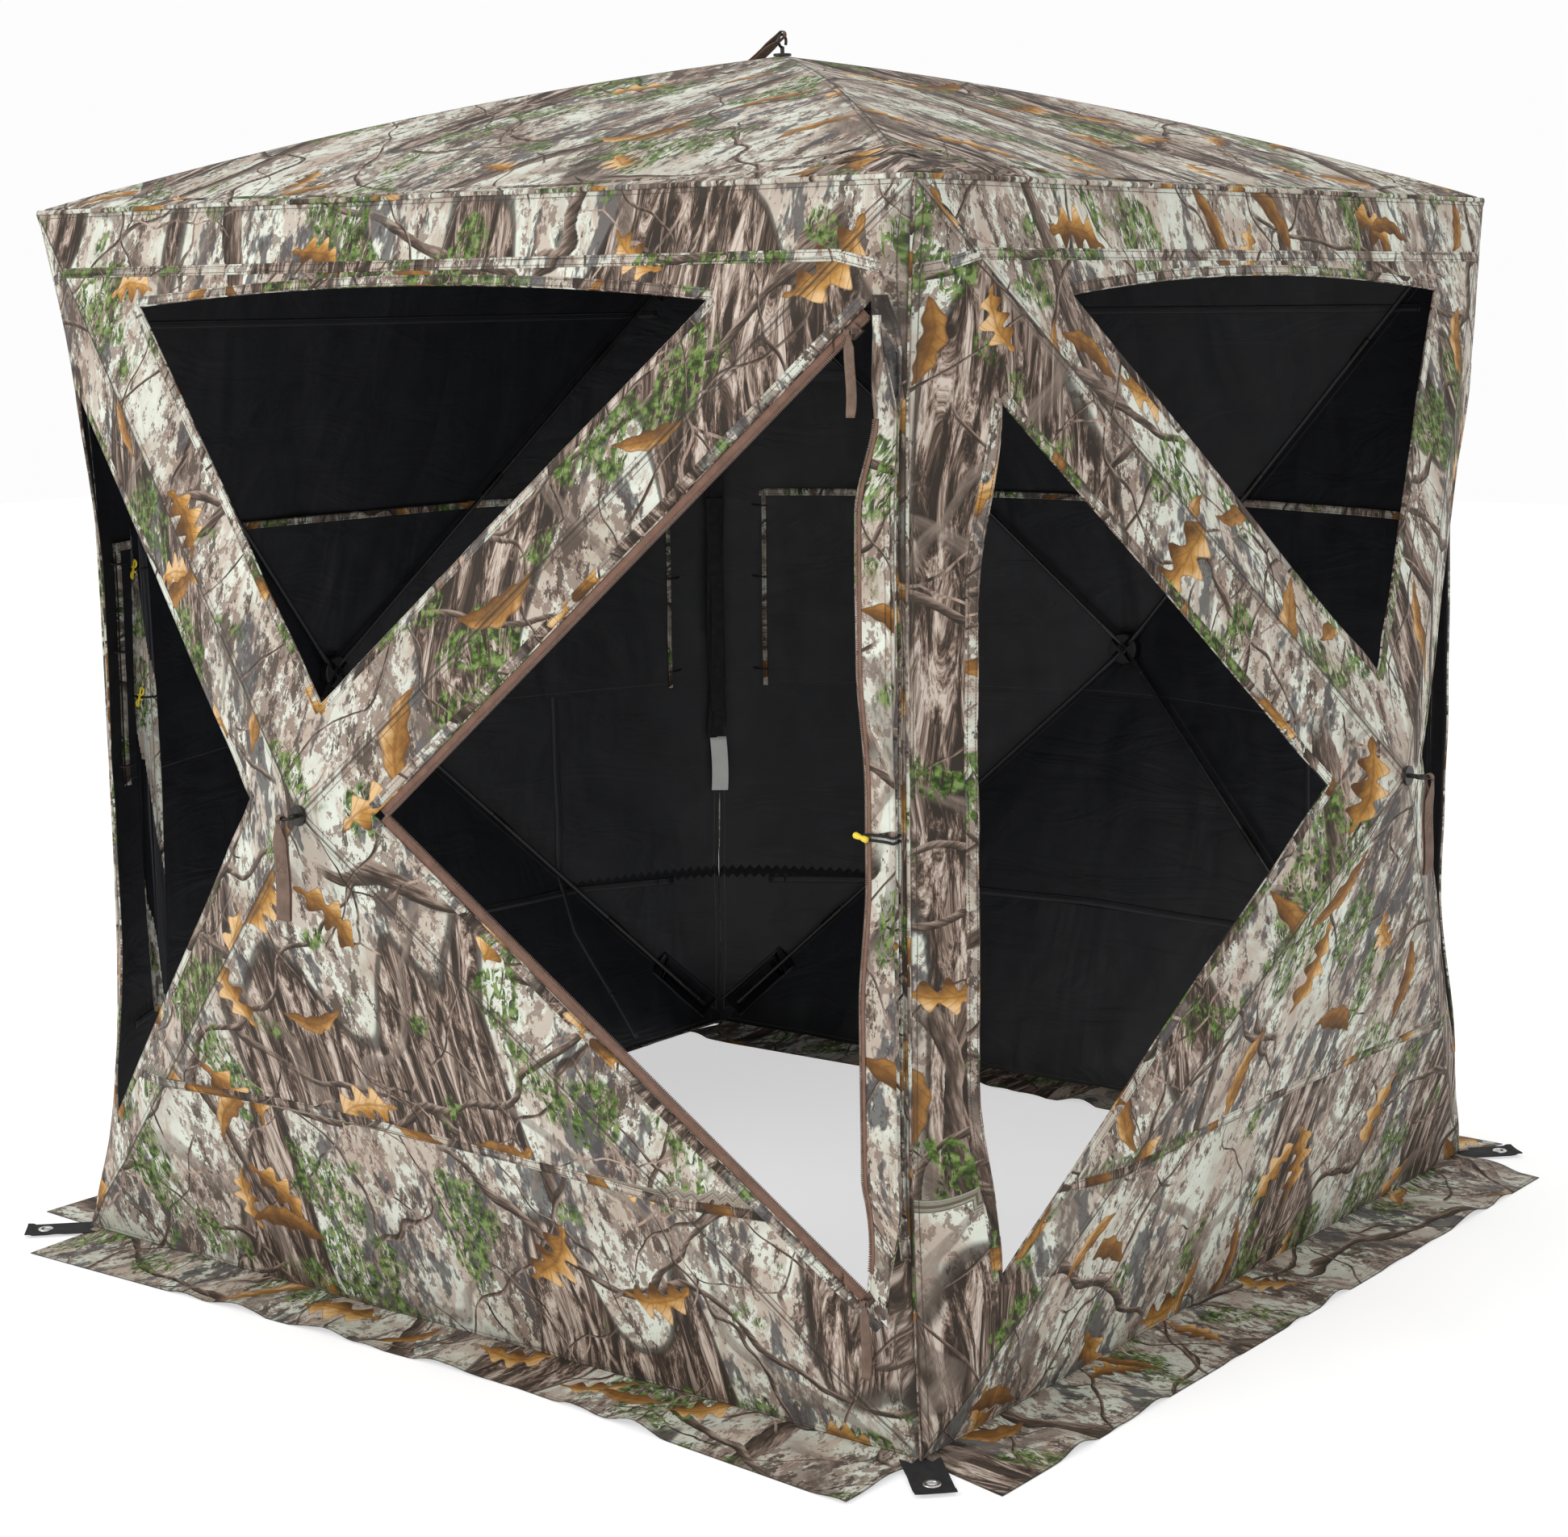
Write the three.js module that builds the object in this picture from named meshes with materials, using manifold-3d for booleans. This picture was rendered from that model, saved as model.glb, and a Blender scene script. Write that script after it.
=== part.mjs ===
// Pop-up hub ground blind: five fabric panels, each pushed out by a hub with four hinged rods.
// Millimetres, +Z up, ground at z = 0, door wall facing -Y.
import * as THREE from 'three';
import { mergeVertices } from 'three/addons/utils/BufferGeometryUtils.js';
import loadManifold from 'manifold-3d';

const wasm = await loadManifold();
wasm.setup();
const { Manifold, Mesh: SolidMesh } = wasm;

// ---- driving dimensions ----
const HALF = 750; // half the footprint
const CORNER_Z = 1490; // roof corners
const APEX_Z = 1702; // top of the roof fabric
const HUB_Z = 740; // height of the wall hubs
const HUB_OUT = 248; // how far a wall's tip stands out of its corner plane
const FABRIC = 2.4; // panel thickness, with its coating and seams
const WALL_TOP = CORNER_Z - 3;
const WALL_FOOT = 5.4; // the skirts and stake tabs pass under the walls
const SIDE_TRIM = 3; // the side walls stop this far short of the front and back walls
const CORNER_BOW = 43; // how far the tight fabric pulls each corner seam inward
const ROOF_BULGE = 22; // how far the bent roof rods lift the fabric
const SEAM_STEPS = 14; // segments along each edge of a panel

// window and door outlines on a wall, as [across, height] from the wall's middle at the ground
const TOP_WINDOW = [[0, 873], [490, 1357], [-490, 1357]];
const TOP_WINDOW_ARCH = 22;
const LEFT_WINDOW = [[-135, 742], [-633, 1237], [-633, 207]];
const RIGHT_WINDOW = [[135, 742], [633, 207], [633, 1237]];
const DOOR = [[99, 745], [712, 164], [703, 1354]];
// where the taut outer edge of a side window runs, and the share of it spent leaving the rod's plane
const WINDOW_EDGE = { across: 640, pull: 28, turn: 0.24 };
const DOOR_STRIP = { width: 22, rise: 3 }; // fabric left between the door and the corner seam
const DOOR_TURN = 0.12; // the same share of the door's outer edge

// hubs, hooks and rods, from each panel's tip, with +Z pointing out of the blind
const HUB = { radius: 27, core: 9.2, top: -13, web: 3.5, depth: 22, slot: 10.4, bore: 3.4 };
const HINGE = { radius: 17, z: -24, pin: 1.7, hole: 2.1 };
const ROD = { radius: 4, ferrule: 4.8, ferruleLength: 42, behind: 6, tip: 5.2, tipLength: 22 };
const ROD_REACH = 45; // how far short of a corner a rod's tip stops, along and across
const ROD_TIP_INSET = 2; // how far inside the wall's corner plane a rod's tip lies
const ROOF_TIP_DROP = 210; // the roof rods' tips below the apex
const HOOK = { shank: 3, wire: 2.2, ring: 9, ringZ: 21, sweep: 300, boss: 13, bossZ: -0.4, bossHeight: 3.4 };
const SKIN_HOLE = 9;
const STRAP = { length: 125, roofLength: 72, thickness: 1.6, narrow: 7, wide: 24, bend: 5, gap: 1.6 };
const ROOF_STRAP_LEAN = 33; // degrees below level

// zips, sliders and pulls
const ZIP = { width: 12, gap: 1.2, fromTip: 16, fromCorner: 18 };
const SLIDER = { length: 15, inner: 4, outer: 16.8, back: 7, front: 5, slot: 13.8, slotBack: 3, slotFront: 0.6 };
const SLIDER_FROM_CORNER = 38;
const PULL = { length: 95, width: 14, neck: 6.8, thickness: 2, eye: 3.2, hole: 1.9, pin: 1.3, lug: 2, lift: 8.5 };

// soft trim
const BUNDLE = { from: 215, to: 1232, width: 56, waist: 42, thickness: 15, gap: 7 };
const TIE = { height: 14, thickness: 1.8, clear: 1.2, waist: 50 }; // waist: half the length of the narrow part
const COVER = { from: 330, to: 1050, at: -668, across: 34, through: 24 };
const CURTAIN = { from: 655, to: 1015, half: 640, behind: 6, thickness: 2, hubHole: 31 };
const SKIRT = 2.4;
const TAB = { width: 50, from: 20, to: 96, thickness: 2.2, z: 2.8, eyelet: 6.3, eyeletAt: 68 };

const COLOURS = {
  camo: [0xa9a695, 0.85, 0], lining: [0x1b1d22, 0.7, 0], hub: [0x1a1a1c, 0.45, 0],
  steel: [0x4c4a48, 0.35, 0.9], glass: [0x202124, 0.4, 0], strap: [0x78625a, 0.9, 0],
  zip: [0x91715e, 0.8, 0], slider: [0x2b2624, 0.35, 0.8], webbing: [0x17171a, 0.85, 0],
};

const blind = new THREE.Group();

// ---- making solids ----
function addMesh(parent, name, geometry, look) {
  const [color, roughness, metalness] = COLOURS[look];
  const mesh = new THREE.Mesh(geometry, new THREE.MeshStandardMaterial({ color, roughness, metalness }));
  mesh.name = name;
  parent.add(mesh);
  return mesh;
}

function toSolid(geometry) {
  let bare = new THREE.BufferGeometry();
  bare.setAttribute('position', geometry.getAttribute('position'));
  if (geometry.index) bare.setIndex(geometry.index);
  bare = mergeVertices(bare, 1e-3);
  return new Manifold(new SolidMesh({
    numProp: 3,
    vertProperties: new Float32Array(bare.getAttribute('position').array),
    triVerts: new Uint32Array(bare.index.array),
  }));
}

function toGeometry(solid) {
  const mesh = solid.getMesh();
  const geometry = new THREE.BufferGeometry();
  geometry.setAttribute('position', new THREE.BufferAttribute(mesh.vertProperties, 3));
  geometry.setIndex(new THREE.BufferAttribute(mesh.triVerts, 1));
  geometry.computeVertexNormals();
  return geometry;
}

const join = (...parts) => toGeometry(Manifold.union(parts.map(toSolid)));
const cut = (body, ...tools) => toGeometry(Manifold.difference([body, ...tools].map(toSolid)));

function cylinder(radius, from, to, sides = 24) {
  return new THREE.CylinderGeometry(radius, radius, to - from, sides)
    .rotateX(Math.PI / 2).translate(0, 0, (from + to) / 2);
}

function lathe(profile, sides) {
  return new THREE.LatheGeometry(profile.map(([r, z]) => new THREE.Vector2(r, z)), sides).rotateX(Math.PI / 2);
}

// three.js solids need their faces pointing outward
function facingOut(geometry) {
  const p = geometry.getAttribute('position');
  const [a, b, c] = [new THREE.Vector3(), new THREE.Vector3(), new THREE.Vector3()];
  let volume = 0;
  const index = geometry.index.array;
  for (let k = 0; k < index.length; k += 3) {
    [a, b, c].forEach((v, i) => v.fromBufferAttribute(p, index[k + i]));
    volume += a.dot(b.cross(c));
  }
  if (volume < 0) {
    const turned = Array.from(index);
    for (let k = 0; k < turned.length; k += 3) [turned[k], turned[k + 1]] = [turned[k + 1], turned[k]];
    geometry.setIndex(turned);
  }
  geometry.computeVertexNormals();
  return geometry;
}

// A closed solid from an open surface: its points, its triangles, and the way to its other face.
function thicken(points, triangles, offset) {
  const index = new Map();
  const unique = [];
  const same = points.map((p) => {
    const key = p.toArray().map((x) => Math.round(x * 100)).join();
    if (!index.has(key)) index.set(key, unique.push(p) - 1);
    return index.get(key);
  });
  const faces = triangles.map((t) => t.map((i) => same[i]));
  const count = unique.length;
  const edges = new Set(faces.flatMap(([a, b, c]) => [`${a},${b}`, `${b},${c}`, `${c},${a}`]));
  const solid = [];
  for (const [a, b, c] of faces) {
    solid.push(a, b, c, c + count, b + count, a + count);
  }
  for (const edge of edges) {
    const [a, b] = edge.split(',').map(Number);
    if (!edges.has(`${b},${a}`)) solid.push(b, a, a + count, b, a + count, b + count);
  }
  const all = [...unique, ...unique.map((p) => p.clone().add(offset))];
  return facingOut(new THREE.BufferGeometry().setFromPoints(all).setIndex(solid));
}

// A closed solid through rings of points. It is a closed loop, or has flat ends.
function loft(rings, loop = false) {
  const size = rings[0].length;
  const points = rings.flat();
  const faces = [];
  const joins = loop ? rings.length : rings.length - 1;
  for (let r = 0; r < joins; r += 1) {
    const here = r * size;
    const next = ((r + 1) % rings.length) * size;
    for (let k = 0; k < size; k += 1) {
      const along = (k + 1) % size;
      faces.push(here + k, here + along, next + along, here + k, next + along, next + k);
    }
  }
  const last = (rings.length - 1) * size;
  for (let k = 1; !loop && k < size - 1; k += 1) {
    faces.push(0, k + 1, k, last, last + k, last + k + 1);
  }
  return facingOut(new THREE.BufferGeometry().setFromPoints(points).setIndex(faces));
}

// ---- the shape of a wall: a point across, how far out of the corner plane, and height ----
const wallPoint = (across, out, height) => new THREE.Vector3(across, -HALF - out, height);
const mix = THREE.MathUtils.lerp;
const smooth = (x) => THREE.MathUtils.smoothstep(x, 0, 1);

function bow(height) {
  const middle = (WALL_TOP + WALL_FOOT) / 2;
  const t = (height - middle) / (WALL_TOP - middle);
  return CORNER_BOW * Math.max(0, 1 - t ** 4);
}

// how far the flat facets between the rods stand out at a place on a wall of this half width
function facetOut(across, height, half = HALF) {
  const side = (half - Math.abs(across)) / half;
  const above = (WALL_TOP - height) / (WALL_TOP - HUB_Z);
  const below = (height - WALL_FOOT) / (HUB_Z - WALL_FOOT);
  return HUB_OUT * Math.min(side, above, below);
}

const cornerEdge = (side, half, height) => wallPoint(side * (half - bow(height)), -bow(height), height);

// where a side window's or the door's outer edge runs, pulled in between its two corners
function outerEdge(kind, side, half) {
  return (across, height, t) => {
    const turn = smooth(Math.min(t, 1 - t) / (kind === 'door' ? DOOR_TURN : WINDOW_EDGE.turn));
    const out = facetOut(across, height, half);
    if (kind === 'door') {
      const seam = half - bow(height);
      return wallPoint(side * mix(Math.abs(across), seam - DOOR_STRIP.width, turn),
        mix(out, DOOR_STRIP.rise - bow(height), turn), height);
    }
    return wallPoint(side * mix(Math.abs(across), WINDOW_EDGE.across, turn), out - WINDOW_EDGE.pull * turn, height);
  };
}

// One facet between two rods: three bands between its own outline and its window's, and the window's fill.
function addFacet(skin, corners, inner, kind, half) {
  const steps = [...Array(SEAM_STEPS + 1).keys()].map((k) => k / SEAM_STEPS);
  const side = Math.sign(inner[1][0] + inner[2][0]);
  const loop = [];
  for (let k = 0; k < 3; k += 1) {
    const [a, b] = [corners[k], corners[(k + 1) % 3]];
    const [p, q] = [inner[k], inner[(k + 1) % 3]];
    const outside = k === 1;
    const rows = steps.map((t) => {
      const [across, height] = [mix(a[0], b[0], t), mix(a[1], b[1], t)];
      let outer = wallPoint(across, facetOut(across, height, half), height);
      if (outside && side) outer = cornerEdge(side, half, height);
      const [u, v] = [mix(p[0], q[0], t), mix(p[1], q[1], t)];
      const arch = outside && !side && inner === TOP_WINDOW ? TOP_WINDOW_ARCH * (1 - (2 * t - 1) ** 2) : 0;
      let edge = wallPoint(u, facetOut(u, v + arch, half), v + arch);
      if (outside && side && kind !== 'closed') edge = outerEdge(kind, side, half)(u, v, t);
      return [outer, edge];
    });
    rows.slice(1).forEach((row, j) => {
      const first = skin.points.push(...rows[j], ...row) - 4;
      skin.triangles.push([first, first + 2, first + 3], [first, first + 3, first + 1]);
    });
    loop.push(...rows.slice(1).map((row) => row[1]));
  }
  if (kind !== 'closed') return;
  const flat = loop.map((p) => new THREE.Vector2(p.x, p.z));
  const first = skin.points.length;
  skin.points.push(...loop);
  for (const t of THREE.ShapeUtils.triangulateShape(flat, [])) skin.triangles.push(t.map((i) => i + first));
}

// the outline that divides a facet with no window
function plainInner(corners) {
  const middle = [0, 1].map((i) => (corners[0][i] + corners[1][i] + corners[2][i]) / 3);
  return corners.map((c) => [mix(middle[0], c[0], 0.6), mix(middle[1], c[1], 0.6)]);
}

function wallSkin(half, openings) {
  const [hub, foot, top] = [[0, HUB_Z], WALL_FOOT, WALL_TOP];
  const facets = {
    top: [hub, [half, top], [-half, top]], left: [hub, [-half, top], [-half, foot]],
    bottom: [hub, [-half, foot], [half, foot]], right: [hub, [half, foot], [half, top]],
  };
  const skin = { points: [], triangles: [] };
  for (const [place, corners] of Object.entries(facets)) {
    const opening = openings[place];
    const kind = opening ? (opening === DOOR ? 'door' : 'window') : 'closed';
    addFacet(skin, corners, opening ?? plainInner(corners), kind, half);
  }
  const solid = thicken(skin.points, skin.triangles, new THREE.Vector3(0, FABRIC, 0));
  const hole = cylinder(SKIN_HOLE, -HUB_OUT, HUB_OUT).rotateX(Math.PI / 2).translate(0, -HALF - HUB_OUT, HUB_Z);
  return cut(solid, hole);
}

const WALLS = [
  { name: 'front', turn: 0, openings: { top: TOP_WINDOW, left: LEFT_WINDOW, right: DOOR } },
  { name: 'right', turn: 1, openings: { top: TOP_WINDOW, left: LEFT_WINDOW, right: RIGHT_WINDOW } },
  { name: 'back', turn: 2, openings: {} },
  { name: 'left', turn: 3, openings: {} },
];

function wallGroup(turn) {
  const group = new THREE.Group();
  group.rotation.z = turn * Math.PI / 2;
  blind.add(group);
  return group;
}

function addWalls() {
  for (const { name, turn, openings } of WALLS) {
    const half = turn % 2 ? HALF - SIDE_TRIM : HALF;
    addMesh(wallGroup(turn), `${name}_wall`, wallSkin(half, openings), 'camo');
  }
}

// ---- the roof: a low pyramid that its bent rods round a little ----
function roofZ(x, y) {
  const far = Math.max(Math.abs(x), Math.abs(y)) / HALF;
  const near = Math.min(Math.abs(x), Math.abs(y)) / HALF;
  const ridge = far > 0 ? near / far : 1;
  return CORNER_Z + (APEX_Z - CORNER_Z) * (1 - far) + ROOF_BULGE * 4 * far * (1 - far) * (0.45 + 0.55 * ridge);
}

function addRoof() {
  const cells = 12;
  const points = [];
  const triangles = [];
  for (let j = 0; j <= cells; j += 1) {
    for (let i = 0; i <= cells; i += 1) {
      const [x, y] = [i, j].map((k) => (k / cells - 0.5) * 2 * HALF);
      points.push(new THREE.Vector3(x, y, roofZ(x, y)));
    }
  }
  for (let j = 0; j < cells; j += 1) {
    for (let i = 0; i < cells; i += 1) {
      const a = j * (cells + 1) + i;
      const [b, c, d] = [a + 1, a + cells + 2, a + cells + 1];
      const rising = (i < cells / 2) === (j < cells / 2);
      triangles.push(...(rising ? [[a, b, c], [a, c, d]] : [[a, b, d], [b, c, d]]));
    }
  }
  const solid = thicken(points, triangles, new THREE.Vector3(0, 0, -FABRIC));
  addMesh(blind, 'roof', cut(solid, cylinder(SKIN_HOLE, APEX_Z - 60, APEX_Z + 20)), 'camo');
}

// ---- ground skirts and stake tabs ----
// each skirt's outline on the ground, in its own wall's frame: [across, out]
const SKIRTS = {
  front: [[-745, -8], [745, -8], [746, 145], [197, 100], [-737, 124]],
  right: [[-741, -8], [741, -8], [712, 150], [-190, 137], [-772, 128]],
  back: [[-745, -8], [-600, -8], [-540, -88], [60, -96], [640, -112], [738, -106], [738, 8], [-520, 8], [-560, 104],
    [-782, 97]],
  left: [[-741, -8], [741, -8], [736, 124], [0, 108], [-730, 127]],
};

function flatPlate(outline, thickness, holes = []) {
  const shape = new THREE.Shape(outline.map(([x, y]) => new THREE.Vector2(x, y)));
  shape.holes = holes.map(([x, y, r]) => new THREE.Path().absarc(x, y, r, 0, 2 * Math.PI, true));
  return new THREE.ExtrudeGeometry(shape, { depth: thickness, bevelEnabled: false, curveSegments: 12 });
}

function addSkirts() {
  for (const { name, turn } of WALLS) {
    const outline = SKIRTS[name].map(([across, out]) => [across, -HALF - out]);
    addMesh(wallGroup(turn), `${name}_skirt`, flatPlate(outline, SKIRT), 'camo');
  }
}

function addStakeTabs() {
  const corners = ['front_right', 'back_right', 'back_left', 'front_left'];
  corners.forEach((name, k) => {
    const half = TAB.width / 2;
    const outline = [[-half, -TAB.from], [half, -TAB.from], [half, TAB.to], [-half, TAB.to]];
    const corner = new THREE.Group();
    corner.rotation.z = (k - 1.5) * Math.PI / 2;
    const tab = addMesh(corner, `stake_tab_${name}`, flatPlate(outline, TAB.thickness, [[0, TAB.eyeletAt, TAB.eyelet]]),
      'webbing');
    tab.position.set(0, Math.hypot(HALF, HALF), TAB.z);
    blind.add(corner);
  });
}

// ---- stations: a hub, its hook and pull strap, and its four rods ----
const FLAT_TURN = Math.PI / 2; // lays a station's outward axis level

function station(turn) {
  const group = new THREE.Group();
  if (turn === null) {
    group.position.set(0, 0, APEX_Z);
    blind.add(group);
    return group;
  }
  group.rotation.x = FLAT_TURN;
  group.position.set(0, -HALF - HUB_OUT, HUB_Z);
  wallGroup(turn).add(group);
  return group;
}

const DIAGONALS = { upper_right: [1, 1], upper_left: [-1, 1], lower_left: [-1, -1], lower_right: [1, -1] };

function hubBody() {
  const bottom = HUB.top - HUB.depth;
  const body = lathe([[0, bottom], [HUB.core, bottom], [HUB.core, bottom + 2], [HUB.radius - 2, bottom + 2],
    [HUB.radius, bottom + 4], [HUB.radius, HUB.top - 1], [HUB.radius - 1, HUB.top], [0, HUB.top]], 40);
  const slots = Object.values(DIAGONALS).map(([x, y]) => {
    const length = HUB.radius + 4 - HUB.core;
    const slot = new THREE.BoxGeometry(length, HUB.slot, HUB.depth);
    slot.translate(HUB.core + length / 2, 0, HUB.top - HUB.web - HUB.depth / 2);
    return slot.rotateZ(Math.atan2(y, x));
  });
  const bore = cylinder(HUB.bore, bottom - 1, HUB.top + 1);
  const pins = Object.values(DIAGONALS).map(([x, y]) => {
    const pin = cylinder(HINGE.pin, -HUB.slot / 2 - 2, HUB.slot / 2 + 2, 12).rotateX(Math.PI / 2);
    return pin.translate(HINGE.radius, 0, HINGE.z).rotateZ(Math.atan2(y, x));
  });
  return join(cut(body, ...slots, bore), ...pins);
}

class RingPath extends THREE.Curve {
  getPoint(t) {
    const angle = THREE.MathUtils.degToRad(-90 + HOOK.sweep * t);
    return new THREE.Vector3(HOOK.ring * Math.cos(angle), 0, HOOK.ringZ + HOOK.ring * Math.sin(angle));
  }
}

function hookBolt() {
  const circle = new THREE.Shape().absarc(0, 0, HOOK.wire, 0, 2 * Math.PI);
  const ring = new THREE.ExtrudeGeometry(circle, { steps: 22, extrudePath: new RingPath(), curveSegments: 5 });
  const bottom = HUB.top - HUB.depth;
  const shank = cylinder(HOOK.shank, bottom - 9, HOOK.ringZ - HOOK.ring + 1, 16);
  const boss = cylinder(HOOK.boss, HOOK.bossZ, HOOK.bossZ + HOOK.bossHeight, 28);
  const nut = cylinder(6.4, bottom - 6, bottom - 0.5, 6);
  return join(shank, boss, nut, ring);
}

// A hairpin of webbing over the hook's ring, hanging along -Y.
function pullStrap(length) {
  const path = [];
  for (let k = 0; k <= 8; k += 1) {
    const angle = Math.PI * k / 8;
    path.push([STRAP.bend * Math.cos(angle), STRAP.bend * Math.sin(angle), STRAP.narrow]);
  }
  const legs = [[14, 0.8], [34, 1], [length * 0.6, 1], [length - 6, 1.6]];
  for (const [down, share] of legs) path.push([-STRAP.gap * share, -down, down > 20 ? STRAP.wide : STRAP.narrow + 6]);
  path.push([-STRAP.gap, -length + 1.5, STRAP.wide], [STRAP.gap, -length + 1.5, STRAP.wide]);
  for (const [down, share] of legs.reverse()) {
    path.push([STRAP.gap * share, -down, down > 20 ? STRAP.wide : STRAP.narrow + 6]);
  }
  const rings = path.map(([z, y, width], k) => {
    const [before, after] = [path.at(k - 1), path[(k + 1) % path.length]];
    const across = new THREE.Vector2(after[0] - before[0], after[1] - before[1]).normalize();
    const [dz, dy] = [-across.y * STRAP.thickness / 2, across.x * STRAP.thickness / 2];
    const half = width / 2;
    return [[-half, 1], [half, 1], [half, -1], [-half, -1]].map(([x, s]) => (
      new THREE.Vector3(x, y + s * dy, z + s * dz)));
  });
  return loft(rings, true);
}

function rod(tip) {
  const hinge = new THREE.Vector3(Math.sign(tip.x), Math.sign(tip.y), 0).setLength(HINGE.radius);
  hinge.z = HINGE.z;
  const length = tip.distanceTo(hinge);
  const shaft = lathe([[0, -ROD.behind], [ROD.ferrule, -ROD.behind], [ROD.ferrule, ROD.ferruleLength],
    [ROD.radius, ROD.ferruleLength + 1], [ROD.radius, length - ROD.tipLength], [ROD.tip, length - ROD.tipLength + 1],
    [ROD.tip, length - 3], [ROD.tip - 2.5, length], [0, length]], 12);
  const hole = cylinder(HINGE.hole, -9, 9, 12).rotateX(Math.PI / 2);
  const geometry = cut(shaft, hole);
  const mesh = new THREE.Mesh(geometry);
  const along = tip.clone().sub(hinge).normalize();
  const across = new THREE.Vector3(-along.y, along.x, 0).normalize();
  const up = new THREE.Vector3().crossVectors(across, along);
  mesh.quaternion.setFromRotationMatrix(new THREE.Matrix4().makeBasis(up, across, along));
  mesh.position.copy(hinge);
  return mesh;
}

function addStation(name, turn) {
  const group = station(turn);
  const roof = turn === null;
  addMesh(group, `${name}_hub`, hubBody(), 'hub');
  const trim = new THREE.Group();
  trim.rotation.z = roof ? -Math.PI / 2 : 0;
  group.add(trim);
  addMesh(trim, `${name}_hook_bolt`, hookBolt(), 'steel');
  const strap = addMesh(trim, `${name}_pull_strap`, pullStrap(roof ? STRAP.roofLength : STRAP.length), 'strap');
  strap.position.z = HOOK.ringZ + HOOK.ring;
  strap.rotation.x = roof ? THREE.MathUtils.degToRad(ROOF_STRAP_LEAN) : 0;
  for (const [corner, [x, y]] of Object.entries(DIAGONALS)) {
    const reach = HALF - ROD_REACH;
    const down = roof || y > 0 ? reach : HUB_Z - ROD_REACH;
    const tip = new THREE.Vector3(x * reach, y * down, roof ? -ROOF_TIP_DROP : -HUB_OUT - ROD_TIP_INSET);
    const mesh = rod(tip);
    const [color, roughness, metalness] = COLOURS.glass;
    mesh.material = new THREE.MeshStandardMaterial({ color, roughness, metalness });
    mesh.name = `${name}_rod_${corner}`;
    group.add(mesh);
  }
}

// ---- the door's zips, their sliders and pulls, all on the front wall ----
function zipLine(corner) {
  const [tip, end] = [DOOR[0], corner].map(([u, v]) => wallPoint(u, facetOut(u, v), v));
  const along = end.clone().sub(tip);
  const length = along.length();
  along.normalize();
  const rise = Math.sign(corner[1] - DOOR[0][1]);
  const rodLine = wallPoint(HALF, 0, rise > 0 ? WALL_TOP : WALL_FOOT).sub(wallPoint(0, HUB_OUT, HUB_Z));
  const level = new THREE.Vector3(0, 0, 1);
  const normal = new THREE.Vector3().crossVectors(rodLine, level).normalize();
  if (normal.y > 0) normal.negate();
  const aside = new THREE.Vector3().crossVectors(normal, along).normalize();
  if (aside.z * rise < 0) aside.negate();
  return { tip, length, along, normal, aside };
}

// A bar along a zip line, from a section in the plane across it: [aside, out].
function zipBar(line, section, from, to) {
  const rings = [from, to].map((s) => section.map(([a, n]) => (
    line.tip.clone().addScaledVector(line.along, s).addScaledVector(line.aside, a).addScaledVector(line.normal, n))));
  return loft(rings);
}

function sliderBody(line, pin) {
  const s = SLIDER;
  const at = line.length - SLIDER_FROM_CORNER;
  const section = [[-s.outer, -s.back], [-s.inner, -s.back], [-s.inner, -s.slotBack], [-s.slot, -s.slotBack],
    [-s.slot, s.slotFront], [-s.inner, s.slotFront], [-s.inner, s.front], [-s.outer, s.front]];
  const points = section.map(([a, n]) => (
    line.tip.clone().addScaledVector(line.along, at - s.length / 2)
      .addScaledVector(line.aside, a).addScaledVector(line.normal, n)));
  const caps = THREE.ShapeUtils.triangulateShape(section.map(([a, n]) => new THREE.Vector2(a, n)), []);
  const body = thicken(points, caps, line.along.clone().multiplyScalar(s.length));
  const lugs = [-1, 1].map((side) => {
    const lug = new THREE.BoxGeometry(PULL.lug, PULL.lift + 3, 2 * PULL.pin + 3);
    return lug.translate(pin.x + side * (PULL.neck / 2 + 0.5 + PULL.lug / 2), pin.y + PULL.lift / 2 - 0.5, pin.z);
  });
  const axle = cylinder(PULL.pin, -PULL.neck / 2 - 1, PULL.neck / 2 + 1, 12).rotateY(Math.PI / 2);
  return join(body, ...lugs, axle.translate(pin.x, pin.y, pin.z));
}

function sliderPull(pin) {
  const half = PULL.thickness / 2;
  const eye = cylinder(PULL.eye, -PULL.neck / 2, PULL.neck / 2, 16).rotateY(Math.PI / 2);
  const [neck, full] = [PULL.neck / 2, PULL.width / 2];
  const outline = [[-neck, -1], [-neck, -12], [-full, -18], [-full, -PULL.length], [full, -PULL.length], [full, -18],
    [neck, -12], [neck, -1]];
  const tape = flatPlate(outline, PULL.thickness).rotateX(Math.PI / 2).translate(0, half, 0);
  const hole = cylinder(PULL.hole, -PULL.neck, PULL.neck, 16).rotateY(Math.PI / 2);
  return cut(join(eye, tape), hole).translate(pin.x, pin.y, pin.z);
}

function addZips() {
  for (const [place, corner] of [['upper', DOOR[2]], ['lower', DOOR[1]]]) {
    const line = zipLine(corner);
    const section = [[-ZIP.width - ZIP.gap, 0], [-ZIP.gap, 0], [-ZIP.gap, -FABRIC], [-ZIP.width - ZIP.gap, -FABRIC]];
    const tape = zipBar(line, section, ZIP.fromTip, line.length - ZIP.fromCorner);
    addMesh(blind, `door_zip_${place}`, tape, 'zip');
    const middle = -(SLIDER.inner + SLIDER.outer) / 2;
    const pin = line.tip.clone().addScaledVector(line.along, line.length - SLIDER_FROM_CORNER)
      .addScaledVector(line.aside, middle).addScaledVector(line.normal, SLIDER.front);
    pin.y -= PULL.lift;
    addMesh(blind, `door_slider_${place}`, sliderBody(line, pin), 'slider');
    addMesh(blind, `door_pull_${place}`, sliderPull(pin), 'strap');
  }
}

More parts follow.
